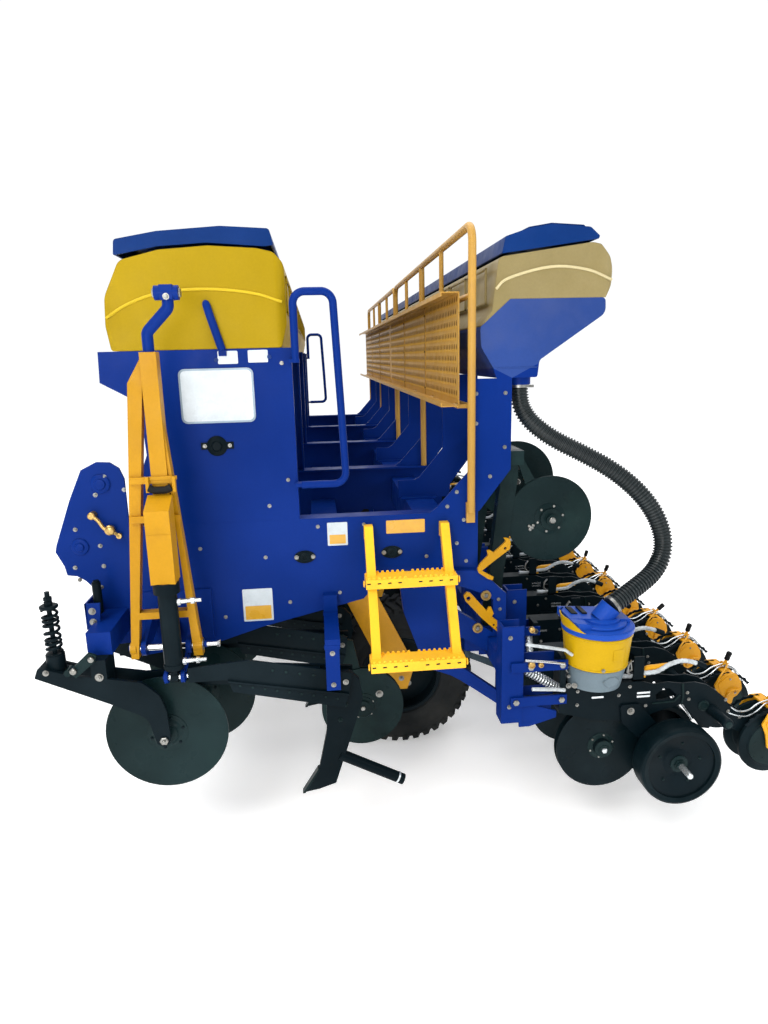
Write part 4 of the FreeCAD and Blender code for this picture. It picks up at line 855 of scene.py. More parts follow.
# ------------------------------------------------------------------ shanks: point, pale ring near the tube's end
g, gr, gt = G(), G(), G()
for y in FRONT_ROWS:
    s = row_sign(y)
    yy = y - s * 17
    a, b = Vector((30, yy, 415)), Vector((281, yy, 280))
    d = (b - a).normalized()
    gr.lathe(a + d * 258, d, [(22.2, 0), (23.4, 1), (23.4, 7), (22.2, 8)], 24, True, True)
    g.lathe(b - d * 2, d, [(22, 0), (22, 4), (17, 4), (17, -20)], 24, True, False)
    # boot point, and two bolts
    gt.prism([(-62, 364), (-54, 364), (-117, 262), (-129, 261)], yy - 17, yy + 17)
    gt.bolt((36, yy - s * 13, 575), (0, -s, 0), 7, 5)
    gt.bolt((58, yy - s * 13, 640), (0, -s, 0), 7, 5)
g.obj("shank_tube_ends", "black_paint", "root")
gr.obj("shank_tube_rings", "bright_edge", "root")
gt.obj("shank_points", "disc_steel", "root", bevel=0.001)

# fertilizer discs: hub bolts and one large bolt
g, gz = G(), G()
for y in REAR_ROWS:
    for s in (-1, 1):
        g.disc((145, y + s * 13.9, 425), (0, s, 0), [(66, 0), (66, 2), (52, 5), (50, 8)], 32)
        for k in range(5):
            a = PI2 * k / 5 + 0.5
            gz.bolt((145 + 52 * math.cos(a), y + s * 17, 425 + 52 * math.sin(a)), (0, s, 0), 4.5, 3, False, False)
        gz.bolt((222, y + s * 14, 483), (0, s, 0), 12, 8)
        gz.disc((145, y + s * 30, 425), (0, s, 0), [(11, 0), (11, 5), (8, 7)], 6)
g.obj("fertilizer_disc_hubs", "disc_steel", "root")
gz.obj("fertilizer_disc_bolts", "zinc", "root")

# ------------------------------------------------------------------ marker arms: knobs, pins and plates
for side, s in (("left", 1), ("right", -1)):
    g = G()
    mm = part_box("marker_arm_" + side)
    # bolts at the bent top, cylinder pin heads outside the cheeks, the hinge ears' collars
    for d in (-1, 1):
        g.disc((-503.5 + d * 41.5, -2750, 2210), (d, 0, 0), [(17, 0), (17, 6), (12, 8)], 6)
        g.disc((-583 + d * 30, -2836, 1410), (d, 0, 0), [(15, 0), (15, 7), (11, 9)], 16)
    g.bolt((-502, -2774, 2196), (0, -1, 0), 8, 6)
    g.disc((-757, -2750, 898), (-1, 0, 0), [(22, 0), (22, 3), (16, 4)], 20)
    g.disc((-485, -2750, 898), (1, 0, 0), [(22, 0), (22, 3), (16, 4)], 20)
    if s < 0:
        for p in g.v:
            p.y = -p.y
    g.obj("marker_arm_bolts_" + side, "zinc", "marker_arm_" + side)
    # sleeve that closes the guard over the rod's eye
    g = G()
    v = []
    for x in (-627, -539):
        v += [(x, -2880, 1377), (x, -2880, 1462), (x, -2794, 1506), (x, -2794, 1377)]
    g.add(v, [(0, 1, 5, 4), (1, 2, 6, 5), (0, 3, 2, 1), (4, 5, 6, 7)], False)
    if s < 0:
        for p in g.v:
            p.y = -p.y
    g.obj("marker_guard_hood_" + side, "marker_yellow_painted_shade", "marker_rod_" + side)
    # a strap with a dark buffer half way up the arm
    g, gd = G(), G()
    g.box(-636, -520, -2786, -2779, 1558, 1572)
    for x in (-630, -536):
        g.box(x, x + 12, -2800, -2779, 1515, 1572)
    gd.tube([(-618, -2798, 1532), (-600, -2800, 1524), (-560, -2800, 1524), (-540, -2798, 1532)], 14, 12)
    if s < 0:
        for h in (g, gd):
            for p in h.v:
                p.y = -p.y
    g.obj("marker_strap_" + side, "marker_yellow_painted_shade", "marker_arm_" + side, bevel=0.001)
    gd.obj("marker_buffer_" + side, "black_rubber", "marker_arm_" + side)
    # bright hinge pin between the cheeks and beyond
    g, gd, gf = G(), G(), G()
    for xa, xb in ((-697, -548), (-528, -522), (-727, -715)):
        g.tube([(xa, -2750, 898), (xb, -2750, 898)], 13.2, 16)
    g.tube([(-470, -2750, 898), (-430, -2750, 898)], 9, 14)
    g.disc((-430, -2750, 898), (1, 0, 0), [(14, 0), (14, 9), (10, 12)], 6)
    # cylinder ports: bright fittings riding the barrel, with the hose tails beyond them
    for z in (1108, 870):
        gf.tube([(-552, -2836, z), (-512, -2836, z + 2)], 9, 12)
        gf.disc((-548, -2836, z), (1, 0, 0), [(14, 0), (14, 10), (12, 12)], 6)
        gf.tube([(-512, -2836, z + 2), (-462, -2834, z + 2)], 7.5, 12)
        gf.disc((-500, -2835.5, z + 2), (1, 0, 0), [(12, 0), (12, 14), (10, 15)], 6)
    gd.lathe((-583, -2836, 0), (0, 0, 1), [(35, 1172), (37.5, 1174), (37.5, 1186), (35, 1188)], 36, True, True)
    gd.lathe((-583, -2836, 0), (0, 0, 1), [(34, 846), (38, 848), (38, 866), (34, 868)], 36, True, True)
    if s < 0:
        for h in (g, gd, gf):
            for p in h.v:
                p.y = -p.y
    g.obj("marker_hinge_pin_" + side, "chromed_rod", "root")
    gf.obj("marker_ports_" + side, "bright_edge", "marker_barrel_" + side)
    gd.obj("marker_barrel_bands_" + side, "black_paint", "marker_barrel_" + side)
    g = G()
    g.tube([(-606.8, -2836, 810), (-597.5, -2836, 810)], 13, 14)
    g.tube([(-568.5, -2836, 810), (-559.2, -2836, 810)], 13, 14)
    g.tube([(-539, -2836, 810), (-531, -2836, 810)], 9, 12)
    if s < 0:
        for p in g.v:
            p.y = -p.y
    g.obj("marker_lower_bushes_" + side, "bright_edge", "root")

# ------------------------------------------------------------------ walkway panels: pressed dimples in rows
def dimples(y0, y1, side):
    g, gh = G(), G()
    n = int((y1 - y0 - 60) / 37.0)
    rows = 9
    for r in range(rows):
        for k in range(n):
            yc = y0 + 38 + k * 37.0 + (18.5 if r % 2 else 0)
            if yc > y1 - 30:
                continue
            zc = 1769 + 40 + r * (448 - 80) / (rows - 1)
            for x, d in ((571.0, -1), (575.0, 1)):
                # a pressed louvre: a lip that stands out below, and above it the opening, drawn as a dark brown patch
                # of painted shade
                top = Vector((x + d * 1.6, yc, zc + 8))
                ring = [Vector((x, yc + 8.5 * math.cos(t), zc - 4 + 9.0 * math.sin(t))) for t in (math.pi, math.pi * 1.25, math.pi * 1.5, math.pi * 1.75, PI2)]
                mid = Vector((x + d * 5.0, yc, zc - 1))
                v = [top] + ring + [mid]
                g.add(v, [(0, 6, 1), (1, 6, 2), (2, 6, 3), (3, 6, 4), (4, 6, 5), (5, 6, 0)], True)
                hole = [(0, 25), (-5.2, 15), (-5.6, 6), (-3.0, 1), (3.0, 1), (5.6, 6), (5.2, 15)]
                v = [Vector((x + d * 0.9, yc + a, zc + b)) for a, b in hole] + [Vector((x - d * 0.5, yc + a * 1.15, zc + 13 + (b - 13) * 1.1)) for a, b in hole]
                gh.add(v, [tuple(range(7))] + [(j, (j + 1) % 7, 7 + (j + 1) % 7, 7 + j) for j in range(7)], False)
    return g, gh


for side, y0, y1 in (("left", -2536, -10), ("right", 10, 2536)):
    g, gh = dimples(y0, y1, side)
    o = g.obj("walkway_dimples_" + side, "deck_paint", "walkway_deck_" + side)
    # the louvre openings as dark patches of painted shade
    gh.obj("walkway_slot_shade_" + side, "slot_shade_and_seam_brown", "walkway_deck_" + side)
    g = G()
    # joints between the panel lengths, hinge eyes and a latch hook
    for yy in (y0 + 842, y0 + 1684):
        g.box(568.0, 570.5, yy - 14, yy + 14, 1774, 2213)
        g.box(575.5, 578.0, yy - 14, yy + 14, 1774, 2213)
    g.obj("walkway_joints_" + side, "deck_paint", "walkway_deck_" + side, bevel=0.0006)
    g = G()
    for yy in (y0 + 842, y0 + 1684):
        g.box(567.4, 568.4, yy - 3.5, yy + 3.5, 1776, 2211)
        g.box(577.6, 578.6, yy - 3.5, yy + 3.5, 1776, 2211)
        for zz in (1810, 1992, 2170):
            g.box(566.2, 568.2, yy - 16, yy + 16, zz - 4, zz + 4)
    g.obj("walkway_seams_" + side, "slot_shade_and_seam_brown", "walkway_deck_" + side)

# ------------------------------------------------------------------ ladders: folded treads with toothed edges
g, gd = G(), G()
for (yc, zc) in ((-2693.0, 1090.0), (-2847.0, 805.0)):
    for k in range(17):
        x = 172 + k * 20.6
        if 7 < k < 9:
            continue
        # teeth along the outer edge and the inner edge
        for ye in (yc - 41, yc + 41):
            a = [(x - 7, zc + 28), (x - 4, zc + 37), (x + 4, zc + 37), (x + 7, zc + 28)]
            g.prism(a, ye - 2, ye + 2)
        # dark patches of painted shade standing for the slots in the tread's front face
        if k % 2 == 0:
            gd.prism([(x - 8, zc + 13), (x + 6, zc + 14), (x + 7, zc + 9), (x - 7, zc + 8)], yc - 46.2, yc - 44.8)
    # the tread's turned-down end flanges
    for xe in (155, 533):
        g.disc((xe, yc - 30, zc + 8), (1 if xe > 300 else -1, 0, 0), [(13, 0), (13, 4), (10, 5)], 16)
g.mirrored()
g.obj("ladder_tread_teeth", "ladder_yellow_painted_light", "root", bevel=0.0006)
gd.mirrored()
gd.obj("ladder_tread_slot_shade", "black_rubber", "root")
g = G()
for x in (186, 502):
    g.bolt((x, -2581, 1282), (0, -1, 0), 8, 6)
    g.bolt((x, -2581, 1256), (0, -1, 0), 8, 6)
g.mirrored()
g.obj("ladder_bolts", "zinc", "root")

# ------------------------------------------------------------------ hopper stand and tower bolts
g = G()
for (x, z) in ((-110, 1960), (-110, 1500)):
    g.bolt((x - 20, -2556, z), (0, -1, 0), 5.5, 4.5)
for (x, z) in ((640, 1820), (640, 1700), (760, 1820), (760, 1600), (560, 1420), (700, 1480), (520, 1360)):
    g.bolt((x, -2556, z), (0, -1, 0), 5.8, 4.5)
g.mirrored()
g.obj("tower_bolts", "zinc", "root")
g = G()
g.box(722, 889, -2558, -2555.5, 1917, 1921)
for (x, z) in ((-378, 1978), (-176, 1985)):
    g.bolt((x, -2556, z), (0, -1, 0), 6, 4)
g.mirrored()
g.obj("base_seams", "base_blue", "root")

# ------------------------------------------------------------------ toolbar arms and posts: pins, bushes, bolts
g, gz, gd = G(), G(), G()
for y in FRAME_Y:
    yy = y - 36 if y < 0 else (y + 36 if y > 0 else 86)
    s = -1 if y < 0 else 1
    for (x, z) in ((679, 972), (644, 826)):
        g.disc((x, yy, z), (0, s, 0), [(22, 0), (22, 8), (15, 8), (15, 3)], 24)
        gz.disc((x, yy + s * 3, z), (0, s, 0), [(10, 0), (10, 9), (7, 11)], 6)
    for (x, z) in ((560, 1062), (552, 868), (742, 905), (748, 520), (480, 668), (735, 950)):
        gz.bolt((x, yy, z), (0, s, 0), 5.5, 4.5)
g.obj("arm_pivot_bushes", "brass_zinc", "root")
# dark bar that hangs beside the outer arms
g = G()
g.prism([(584, 732), (746, 665), (746, 629), (587, 705)], -2607, -2600)
g.bolt((604, -2607, 712), (0, -1, 0), 6, 4.5)
g.bolt((728, -2607, 656), (0, -1, 0), 6, 4.5)
g.box(596, 612, -2600, -2585, 704, 720)
g.box(720, 736, -2600, -2585, 648, 664)
g.mirrored()
g.obj("outer_arm_bars", "bar_grey", "root")
for i, y in enumerate(ROW_Y):
    xm, z0, z1 = (728, 510, 925) if i % 2 == 0 else (844, 560, 950)
    for s in (-1, 1):
        for z in ((881, 583) if i % 2 == 0 else (897, 613)):
            gz.bolt((xm - 11 if i % 2 == 0 else xm - 10, y + s * 40, z), (0, s, 0), 6.5, 5)
    # bright upper rim of the open post
    for (xa, xb, ya, yb) in ((xm - 44, xm + 45, y - 40, y - 33), (xm - 44, xm + 45, y + 33, y + 40), (xm - 44, xm - 37, y - 33, y + 33)):
        gd.box(xa, xb, ya, yb, z1, z1 + 2.0)
gz.obj("post_bolts", "zinc", "root")
# tubes and bushes beside the upper and lower arms of the front rank of rows
g, gw, gb = G(), G(), G()
for y in FRONT_ROWS:
    s = -1 if y <= 0 else 1
    yo = y + s * 58
    gw.tube([(776, yo, 858), (815, yo, 849), (870, yo, 838), (934, yo, 824), (965, yo, 800)], 6.5, 10)
    gw.tube([(804, yo, 664), (903, yo, 656), (940, yo, 650)], 7.5, 10)
    g.tube([(772, yo + s * 2, 790), (838, yo + s * 2, 782), (935, yo + s * 2, 766)], 4.5, 10)
    for (x, z, r) in ((798, 917, 12), (800, 768, 14), (838, 766, 11)):
        gb.disc((x, y + s * 48, z), (0, s, 0), [(r, 0), (r, 14), (r - 3, 17), (r - 5, 17), (r - 5, 12)], 20)
gw.obj("row_air_tubes", "pale_tube", "root")
g.obj("row_guide_rods", "chromed_rod", "root")
gb.obj("row_brass_bushes", "brass_zinc", "root")
gd.obj("post_rims", "blue_paint", "root")

# ------------------------------------------------------------------ row units
pins, dark, zincs, bright, silver, yel, rub, plates = G(), G(), G(), G(), G(), G(), G(), G()
for i, y in enumerate(ROW_Y):
    x0 = 720 if i % 2 == 0 else 838
    # pins and bushes of the parallel arms, with springs between them
    for z in (755, 605):
        for s in (-1, 1):
            for x in ((x0 + 22 if (z < 700 or i % 2) else 800), 930):
                zincs.disc((x, y + s * 50, z), (0, s, 0), [(13, 0), (13, 5), (9, 7)], 6)
    pins.tube([(x0 + 60, y - 22, 735), (930, y - 22, 640)], 9, 12)
    coil = []
    a, b = Vector((x0 + 70, y - 22, 730)), Vector((918, y - 22, 646))
    dd = (b - a)
    L = dd.length
    dd.normalize()
    uu, ww, _ = frame_of(dd)
    n = int(12 * 12)
    for k in range(n + 1):
        t = PI2 * 12 * k / n
        coil.append(a + dd * (L * k / n) + (uu * math.cos(t) + ww * math.sin(t)) * 17)
    bright.tube(coil, 3.6, 6)
    # opener discs: hub with a ring of bolts and a bright centre bolt
    for s in (-1, 1):
        f = y + s * 17.6
        plates.disc((1119, f, 363), (0, s, 0), [(58, 0), (58, 1.6), (50, 3), (48, 5), (40, 8)], 32)
        for k in range(6):
            t = PI2 * k / 6 + 0.35
            zincs.bolt((1119 + 50 * math.cos(t), f + s * 3, 363 + 50 * math.sin(t)), (0, s, 0), 4.8, 4, False, False)
        plates.disc((1119, y + s * 46, 363), (0, s, 0), [(38, 0), (36, 3), (22, 5), (20, 9)], 24)
        bright.disc((1119, y + s * 55, 363), (0, s, 0), [(12, 0), (12, 6), (8, 8)], 6)
    # slots in the body bar, shown by their pressed rims, and its bolts
    for s in (-1, 1):
        f = y + s * 40
        for (xa, xb, z) in ((1060, 1110, 598), (1252, 1308, 604), (1252, 1308, 588)):
            bright.box(xa, xb, min(f, f + s * 1.5), max(f, f + s * 1.5), z - 4, z + 4)
        for (x, z) in ((1000, 570), (1000, 630), (1175, 600), (1220, 535), (1292, 545), (1470, 590), (1478, 560), (1640, 545), (1655, 492), (1220, 635), (960, 700)):
            zincs.bolt((x, f, z), (0, s, 0), 5.0, 4)
        # pressed ring and rib beside the window, spring hook below it
        plates.disc((1545, f, 525), (0, s, 0), [(24, 0), (24, 3), (17, 5), (15, 2)], 24)
        ya, yb = sorted((f, f + s * 4))
        plates.prism([(1443, 540), (1450, 540), (1456, 572), (1450, 632), (1443, 632), (1448, 572)], ya, yb)
        plates.prism([(1318, 556), (1322, 550), (1416, 553), (1440, 580), (1434, 584), (1412, 559)], ya, yb)
        bright.tube([(1447, f + s * 7, 541), (1462, f + s * 8, 520), (1486, f + s * 8, 484), (1494, f + s * 7, 468)], 3.4, 6)
        # rubber sleeve and cap on the stub
        dark.disc((1584, y + s * 40, 502), (0, s, 0), [(24, 0), (24, 14), (21.5, 18), (21.5, 100), (23, 104), (23, 116), (20, 121)], 28)
        plates.disc((1584, y + s * 161, 502), (0, s, 0), [(15, -1), (15, 1.5), (11, 3)], 20)
        for (x, z) in ((1626, 496), (1716, 455), (1760, 405)):
            zincs.bolt((x, y + s * 30, z), (0, s, 0), 5, 4)
        # bolts on the gauge wheel arms
        zincs.bolt((1225, y + s * 50, 530), (0, s, 0), 11, 8)
    # a clip and bracket behind the meter
    dark.box(1236, 1280, y - 34, y - 26, 655, 760)
    dark.box(1236, 1280, y - 34, y + 30, 655, 661)
    zincs.tube([(1226, y - 30, 745), (1210, y - 38, 730), (1206, y - 38, 700), (1222, y - 30, 684)], 5, 8)
    # yellow hand lever on the body
    if i % 3 != 2 or i == 0:
        lev = catmull([(1288, y + 4, 668), (1310, y + 2, 690), (1352, y, 694), (1398, y - 2, 700)], 5)
        yel.tube(lev, [10 + 2.0 * math.sin(3.1 * k / len(lev)) for k in range(len(lev))], 10)
        yel.box(1270, 1300, y - 10, y + 18, 655, 682)
    # pale formed tube that carries the wiring over the body to the closing wheels
    yy = y - 12
    tubep = catmull([(1180, yy + 6, 668), (1250, yy + 4, 664), (1292, yy, 676), (1345, yy - 6, 684), (1395, yy - 8, 712), (1445, yy - 8, 724), (1490, yy - 6, 716), (1534, yy - 4, 698)], 9)
    rr = [9.2 + 0.9 * math.sin(k * 2.1) for k in range(len(tubep))]
    silver.tube(tubep, rr, 10)
    dark.tube([(1512, yy - 5, 709), (1552, yy - 3, 690)], 12.5, 12)
    # bright rods from the end of the bar to the foot of the pressure lever, and a loop behind it
    w1 = catmull([(1664, y - 46, 512), (1690, y - 46, 494), (1722, y - 40, 484), (1762, y - 30, 486), (1806, y - 14, 500), (1862, y - 8, 512), (1884, y, 508)], 6)
    bright.tube(w1, 3.4, 6)
    w2 = catmull([(1655, y - 46, 486), (1700, y - 48, 470), (1744, y - 42, 462), (1790, y - 34, 478), (1834, y - 20, 500), (1868, y - 14, 503)], 6)
    bright.tube(w2, 2.6, 6)
    for (dy, dz) in ((-34, 0), (-12, 6), (16, 0)):
        w3 = catmull([(1868, y + dy * 0.5, 503 + dz), (1896, y + dy, 496 + dz), (1930, y + dy * 1.1, 470 + dz), (1958, y + dy * 0.9, 436 + dz), (1972, y + dy * 0.4, 404)], 6)
        bright.tube(w3, 2.8, 6)
    dark.tube([(1968, y - 16, 416), (1974, y - 8, 398), (1974, y + 6, 396), (1968, y + 12, 414)], 5, 8)
    w4 = catmull([(1790, y - 84, 450), (1800, y - 90, 486), (1836, y - 70, 512), (1872, y - 30, 514)], 6)
    yel.tube(w4, 4.2, 8)
    w5 = catmull([(1846, y - 84, 372), (1850, y - 92, 404), (1876, y - 94, 420), (1906, y - 90, 414)], 6)
    yel.tube(w5, 4.2, 8)
# pressure levers, shield bolts and the dished faces of the closing wheels
tilts = (24.0, 26.0, 22.0, 58.0)
faces = G()
for i, y in enumerate(ROW_Y):
    tl = tilts[i % 4]
    rise = math.sqrt(78.0 ** 2 - tl ** 2)
    for s in (-1, 1):
        f = y + s * 82
        zincs.bolt((1842, f, 341), (0, s, 0), 8, 6)
        zincs.bolt((1858, f, 470), (0, s, 0), 5, 4)
        zincs.bolt((1888, f, 400), (0, s, 0), 5, 4)
        # raised middle of the shield
        ya, yb = sorted((f, f + s * 2.5))
        yel.prism([(1802, 440), (1812, 458), (1838, 480), (1878, 480), (1900, 450), (1906, 418), (1892, 398), (1868, 388), (1838, 384), (1820, 398)], ya, yb)
        # dark toothed quadrant under the bar
        pts = []
        for k in range(19):
            t = math.radians(38 + 104 * k / 18)
            r = 158 if k % 2 == 0 else 152
            pts.append((1842 + r * math.cos(t), 341 + r * math.sin(t)))
        for k in range(19):
            t = math.radians(142 - 104 * k / 18)
            pts.append((1842 + 143 * math.cos(t), 341 + 143 * math.sin(t)))
        ya, yb = sorted((y + s * 64, y + s * 70))
        dark.prism(pts, ya, yb)
        faces.disc((1842, y + s * 68.2, 341), (0, s, 0), [(98, -1), (98, 1.2), (88, 2.6), (52, 0.6), (34, 3.2), (20, 4.0)], 32)
        for k in range(5):
            t = PI2 * k / 5 + 0.5
            faces.bolt((1842 + 70 * math.cos(t), y + s * 68.5, 341 + 70 * math.sin(t)), (0, s, 0), 4, 2.5, False, False)
    low = Vector((1872 + 0.52 * tl, y, 488 + 0.52 * rise))
    top = Vector((1872 + 1.04 * tl, y, 488 + 1.04 * rise))
    d = (top - low).normalized()
    uu, ww, _ = frame_of(d)
    base = Vector((1872, y, 494))
    yel.obox(base + d * 10, uu * 12, ww * 16, d * 12)
    yel.tube([(1846, y, 500), (1898, y, 500)], 9, 12)
    zincs.bolt((1872, y - 16, 502), (0, -1, 0), 6, 5)
    rub.tube([low, low + d * 6, low + d * 20, top - d * 4, top + d * 2], [11, 12.5, 12, 13, 9], 12)
faces.obj("closing_wheel_faces", "disc_steel", "closing_wheels")
pins.obj("row_spring_rods", "zinc", "root")
dark.obj("row_dark_fittings", "black_paint", "root", bevel=0.0)
zincs.obj("row_bolts", "zinc", "root")
bright.obj("row_bright_rods", "bright_edge", "root")
silver.obj("row_wiring_tubes", "pale_tube", "root")
yel.obj("row_levers", "yellow_paint", "root")
rub.obj("row_lever_grips", "black_rubber", "root")
plates.obj("row_hub_plates", "disc_steel", "root")

# gauge wheels: hub bolts that turn with the wheel, long axle bolt end
g, gz = G(), G()
for y in ROW_Y:
    for s in (-1, 1):
        for k in range(5):
            t = PI2 * k / 5 + 0.2
            g.bolt((1408 + 92 * math.cos(t), y + s * 121.5, 320 + 92 * math.sin(t)), (0, s, 0), 5, 3.5, True, False)
        g.lathe((1408, y, 320), (0, s, 0), [(34, 120), (37, 121), (37, 127), (30, 130), (20, 130), (20, 126)], 24, True, False)
g.obj("gauge_wheel_bolts", "disc_steel", "gauge_wheels")
g, gz = G(), G()
for y in ROW_Y:
    for s in (-1, 1):
        gz.disc((1408, y + s * 129, 320), (0, s, 0), [(24, 0), (24, 6), (20, 8)], 6)
        gz.disc((1408, y + s * 137, 320), (0, s, 0), [(18, 0), (18, 7), (14, 8.5)], 20)
for (y, s) in ((ROW_Y[0], -1), (ROW_Y[-1], 1)):
    g.disc((1408, y + s * 146, 320), (0, s, 0), [(12.6, 0), (12.6, 66), (10.5, 70)], 20)
g.obj("axle_end_tubes", "bright_edge", "root")
gz.obj("axle_nuts", "disc_steel", "root")

# ------------------------------------------------------------------ the small hopper: blank raised panel, screw, lid slots
g = G()
yc = -2800
for k in range(1):
    # panel on the front face, following the round wall
    v, f = [], []
    n = 6
    for a in range(n + 1):
        t = math.radians(-84 + 22 * a / n)
        for z in (796, 842):
            for r in (129.5, 134.0):
                v.append((1087 + r * math.cos(t), yc + r * math.sin(t), z))
    for a in range(n):
        o = a * 4
        for (p, q2, r2, s2) in ((1, 5, 7, 3), (0, 2, 6, 4), (0, 4, 5, 1), (2, 3, 7, 6)):
            f.append((o + p, o + q2, o + r2, o + s2))
    f.append((0, 1, 3, 2))
    f.append((n * 4, n * 4 + 2, n * 4 + 3, n * 4 + 1))
    g.add(v, f, False)
    # rolled rim under the lid and a seam at the foot
    g.lathe((1087, yc, 0), (0, 0, 1), [(136.8, 872), (139.2, 875), (139.2, 881), (136.8, 884)], 48, True, True)
    g.lathe((1086, yc, 0), (0, 0, 1), [(123.6, 745), (126.5, 747), (126.5, 752), (124.4, 754)], 48, True, True)
g.obj("bucket_details", "bucket_yellow", "root", bevel=0.0008)
g = G()
g.bolt((1066, yc - 125.5, 757), (0, -1, 0.05), 5.5, 4, True, False)
g.tube([(964, yc - 30, 735), (952, yc - 34, 742), (950, yc - 34, 726), (960, yc - 30, 712)], 3.5, 8)
g.tube([(1210, yc - 20, 725), (1228, yc - 20, 735), (1234, yc - 20, 700), (1214, yc - 20, 690)], 5.0, 8)
g.bolt((978, yc - 60, 668), (-0.5, -1, 0), 8, 6)
g.bolt((960, yc - 42, 660), (0, -1, 0), 8, 6)
g.obj("bucket_screws", "zinc", "root")
g = G()
# embossed lozenge on the grey meter housing
for a0 in (-78,):
    c = math.radians(a0)
    base = Vector((1082 + 112 * math.cos(c), yc + 112 * math.sin(c), 702))
    uu = Vector((-math.sin(c), math.cos(c), 0))
    nn = Vector((math.cos(c), math.sin(c), 0))
    v = [base + nn * 8 + uu * a * 1.0 + Vector((0, 0, b)) for a, b in ((-34, 0), (-14, 19), (14, 19), (34, 0), (14, -19), (-14, -19))]
    w = [base + nn * 1 + uu * a * 1.15 + Vector((0, 0, b * 1.15)) for a, b in ((-34, 0), (-14, 19), (14, 19), (34, 0), (14, -19), (-14, -19))]
    g.add(v + w, [(0, 1, 2, 3, 4, 5)] + [(i, (i + 1) % 6, 6 + (i + 1) % 6, 6 + i) for i in range(6)] + [(11, 10, 9, 8, 7, 6)])
g.lathe((1084, yc, 0), (0, 0, 1), [(119.6, 735), (122.4, 737), (122.4, 742), (120.5, 744)], 48, True, True)
g.obj("meter_details", "grey_plastic", "root", bevel=0.001)
g = G()
for (xa, xb, xc, xd) in ((985, 1010, 1046, 1020), (1030, 1050, 1092, 1070)):
    # slots in the lid's flat rear part, drawn as dark boxes of painted shade
    g.add([(xa, yc + 20, 947), (xb, yc + 20, 944), (xb, yc + 96, 944), (xa, yc + 96, 947), (xa, yc + 20, 935), (xb, yc + 20, 932), (xb, yc + 96, 932), (xa, yc + 96, 935)],
          [(0, 1, 2, 3), (7, 6, 5, 4), (0, 4, 5, 1), (1, 5, 6, 2), (2, 6, 7, 3), (3, 7, 4, 0)])
g.obj("lid_slots", "black_rubber", "root")
g = G()
g.lathe((1087, yc, 0), (0, 0, 1), [(137.8, 886), (142.5, 889), (143.5, 898), (142.5, 907), (137.8, 910)], 56, True, True)
g.lathe((1092, yc, 0), (0, 0, 1), [(100, 912), (106.5, 914), (106.5, 919), (104, 922.5), (100, 922.5)], 48, True, True)
g.obj("lid_rolled_edges", "cap_blue", "root")

# ------------------------------------------------------------------ raised openers
g, gz = G(), G()
for (x, yy, z) in ((995, -2450, 1263), (940, -2100, 1374)):
    g.disc((x, yy - 6, z), (0, -1, 0), [(70, 0), (70, 2), (58, 5), (50, 6)], 32)
    g.disc((x, yy - 38, z), (0, -1, 0), [(24, 0), (24, 3), (16, 5)], 24)
    for k in range(6):
        t = PI2 * k / 6 + 0.25
        gz.bolt((x + 58 * math.cos(t), yy - 10, z + 58 * math.sin(t)), (0, -1, 0), 6, 4.5, False, False)
    gz.disc((x, yy - 42, z), (0, -1, 0), [(14, 0), (14, 6), (10, 9)], 16)
    for (dx, dz) in ((-92, -30), (-78, -38), (-88, -46), (-74, -28), (-84, -36)):
        gz.disc((x + dx, yy - 6, z + dz), (0, -1, 0), [(7, 0), (7, 4), (4, 6)], 10)
    g.ring((x, yy - 4, z), (0, 1, 0), 186, 3.0, 64, 6)
g.obj("raised_opener_hubs", "disc_steel", "root")
gz.obj("raised_opener_bolts", "zinc", "root")

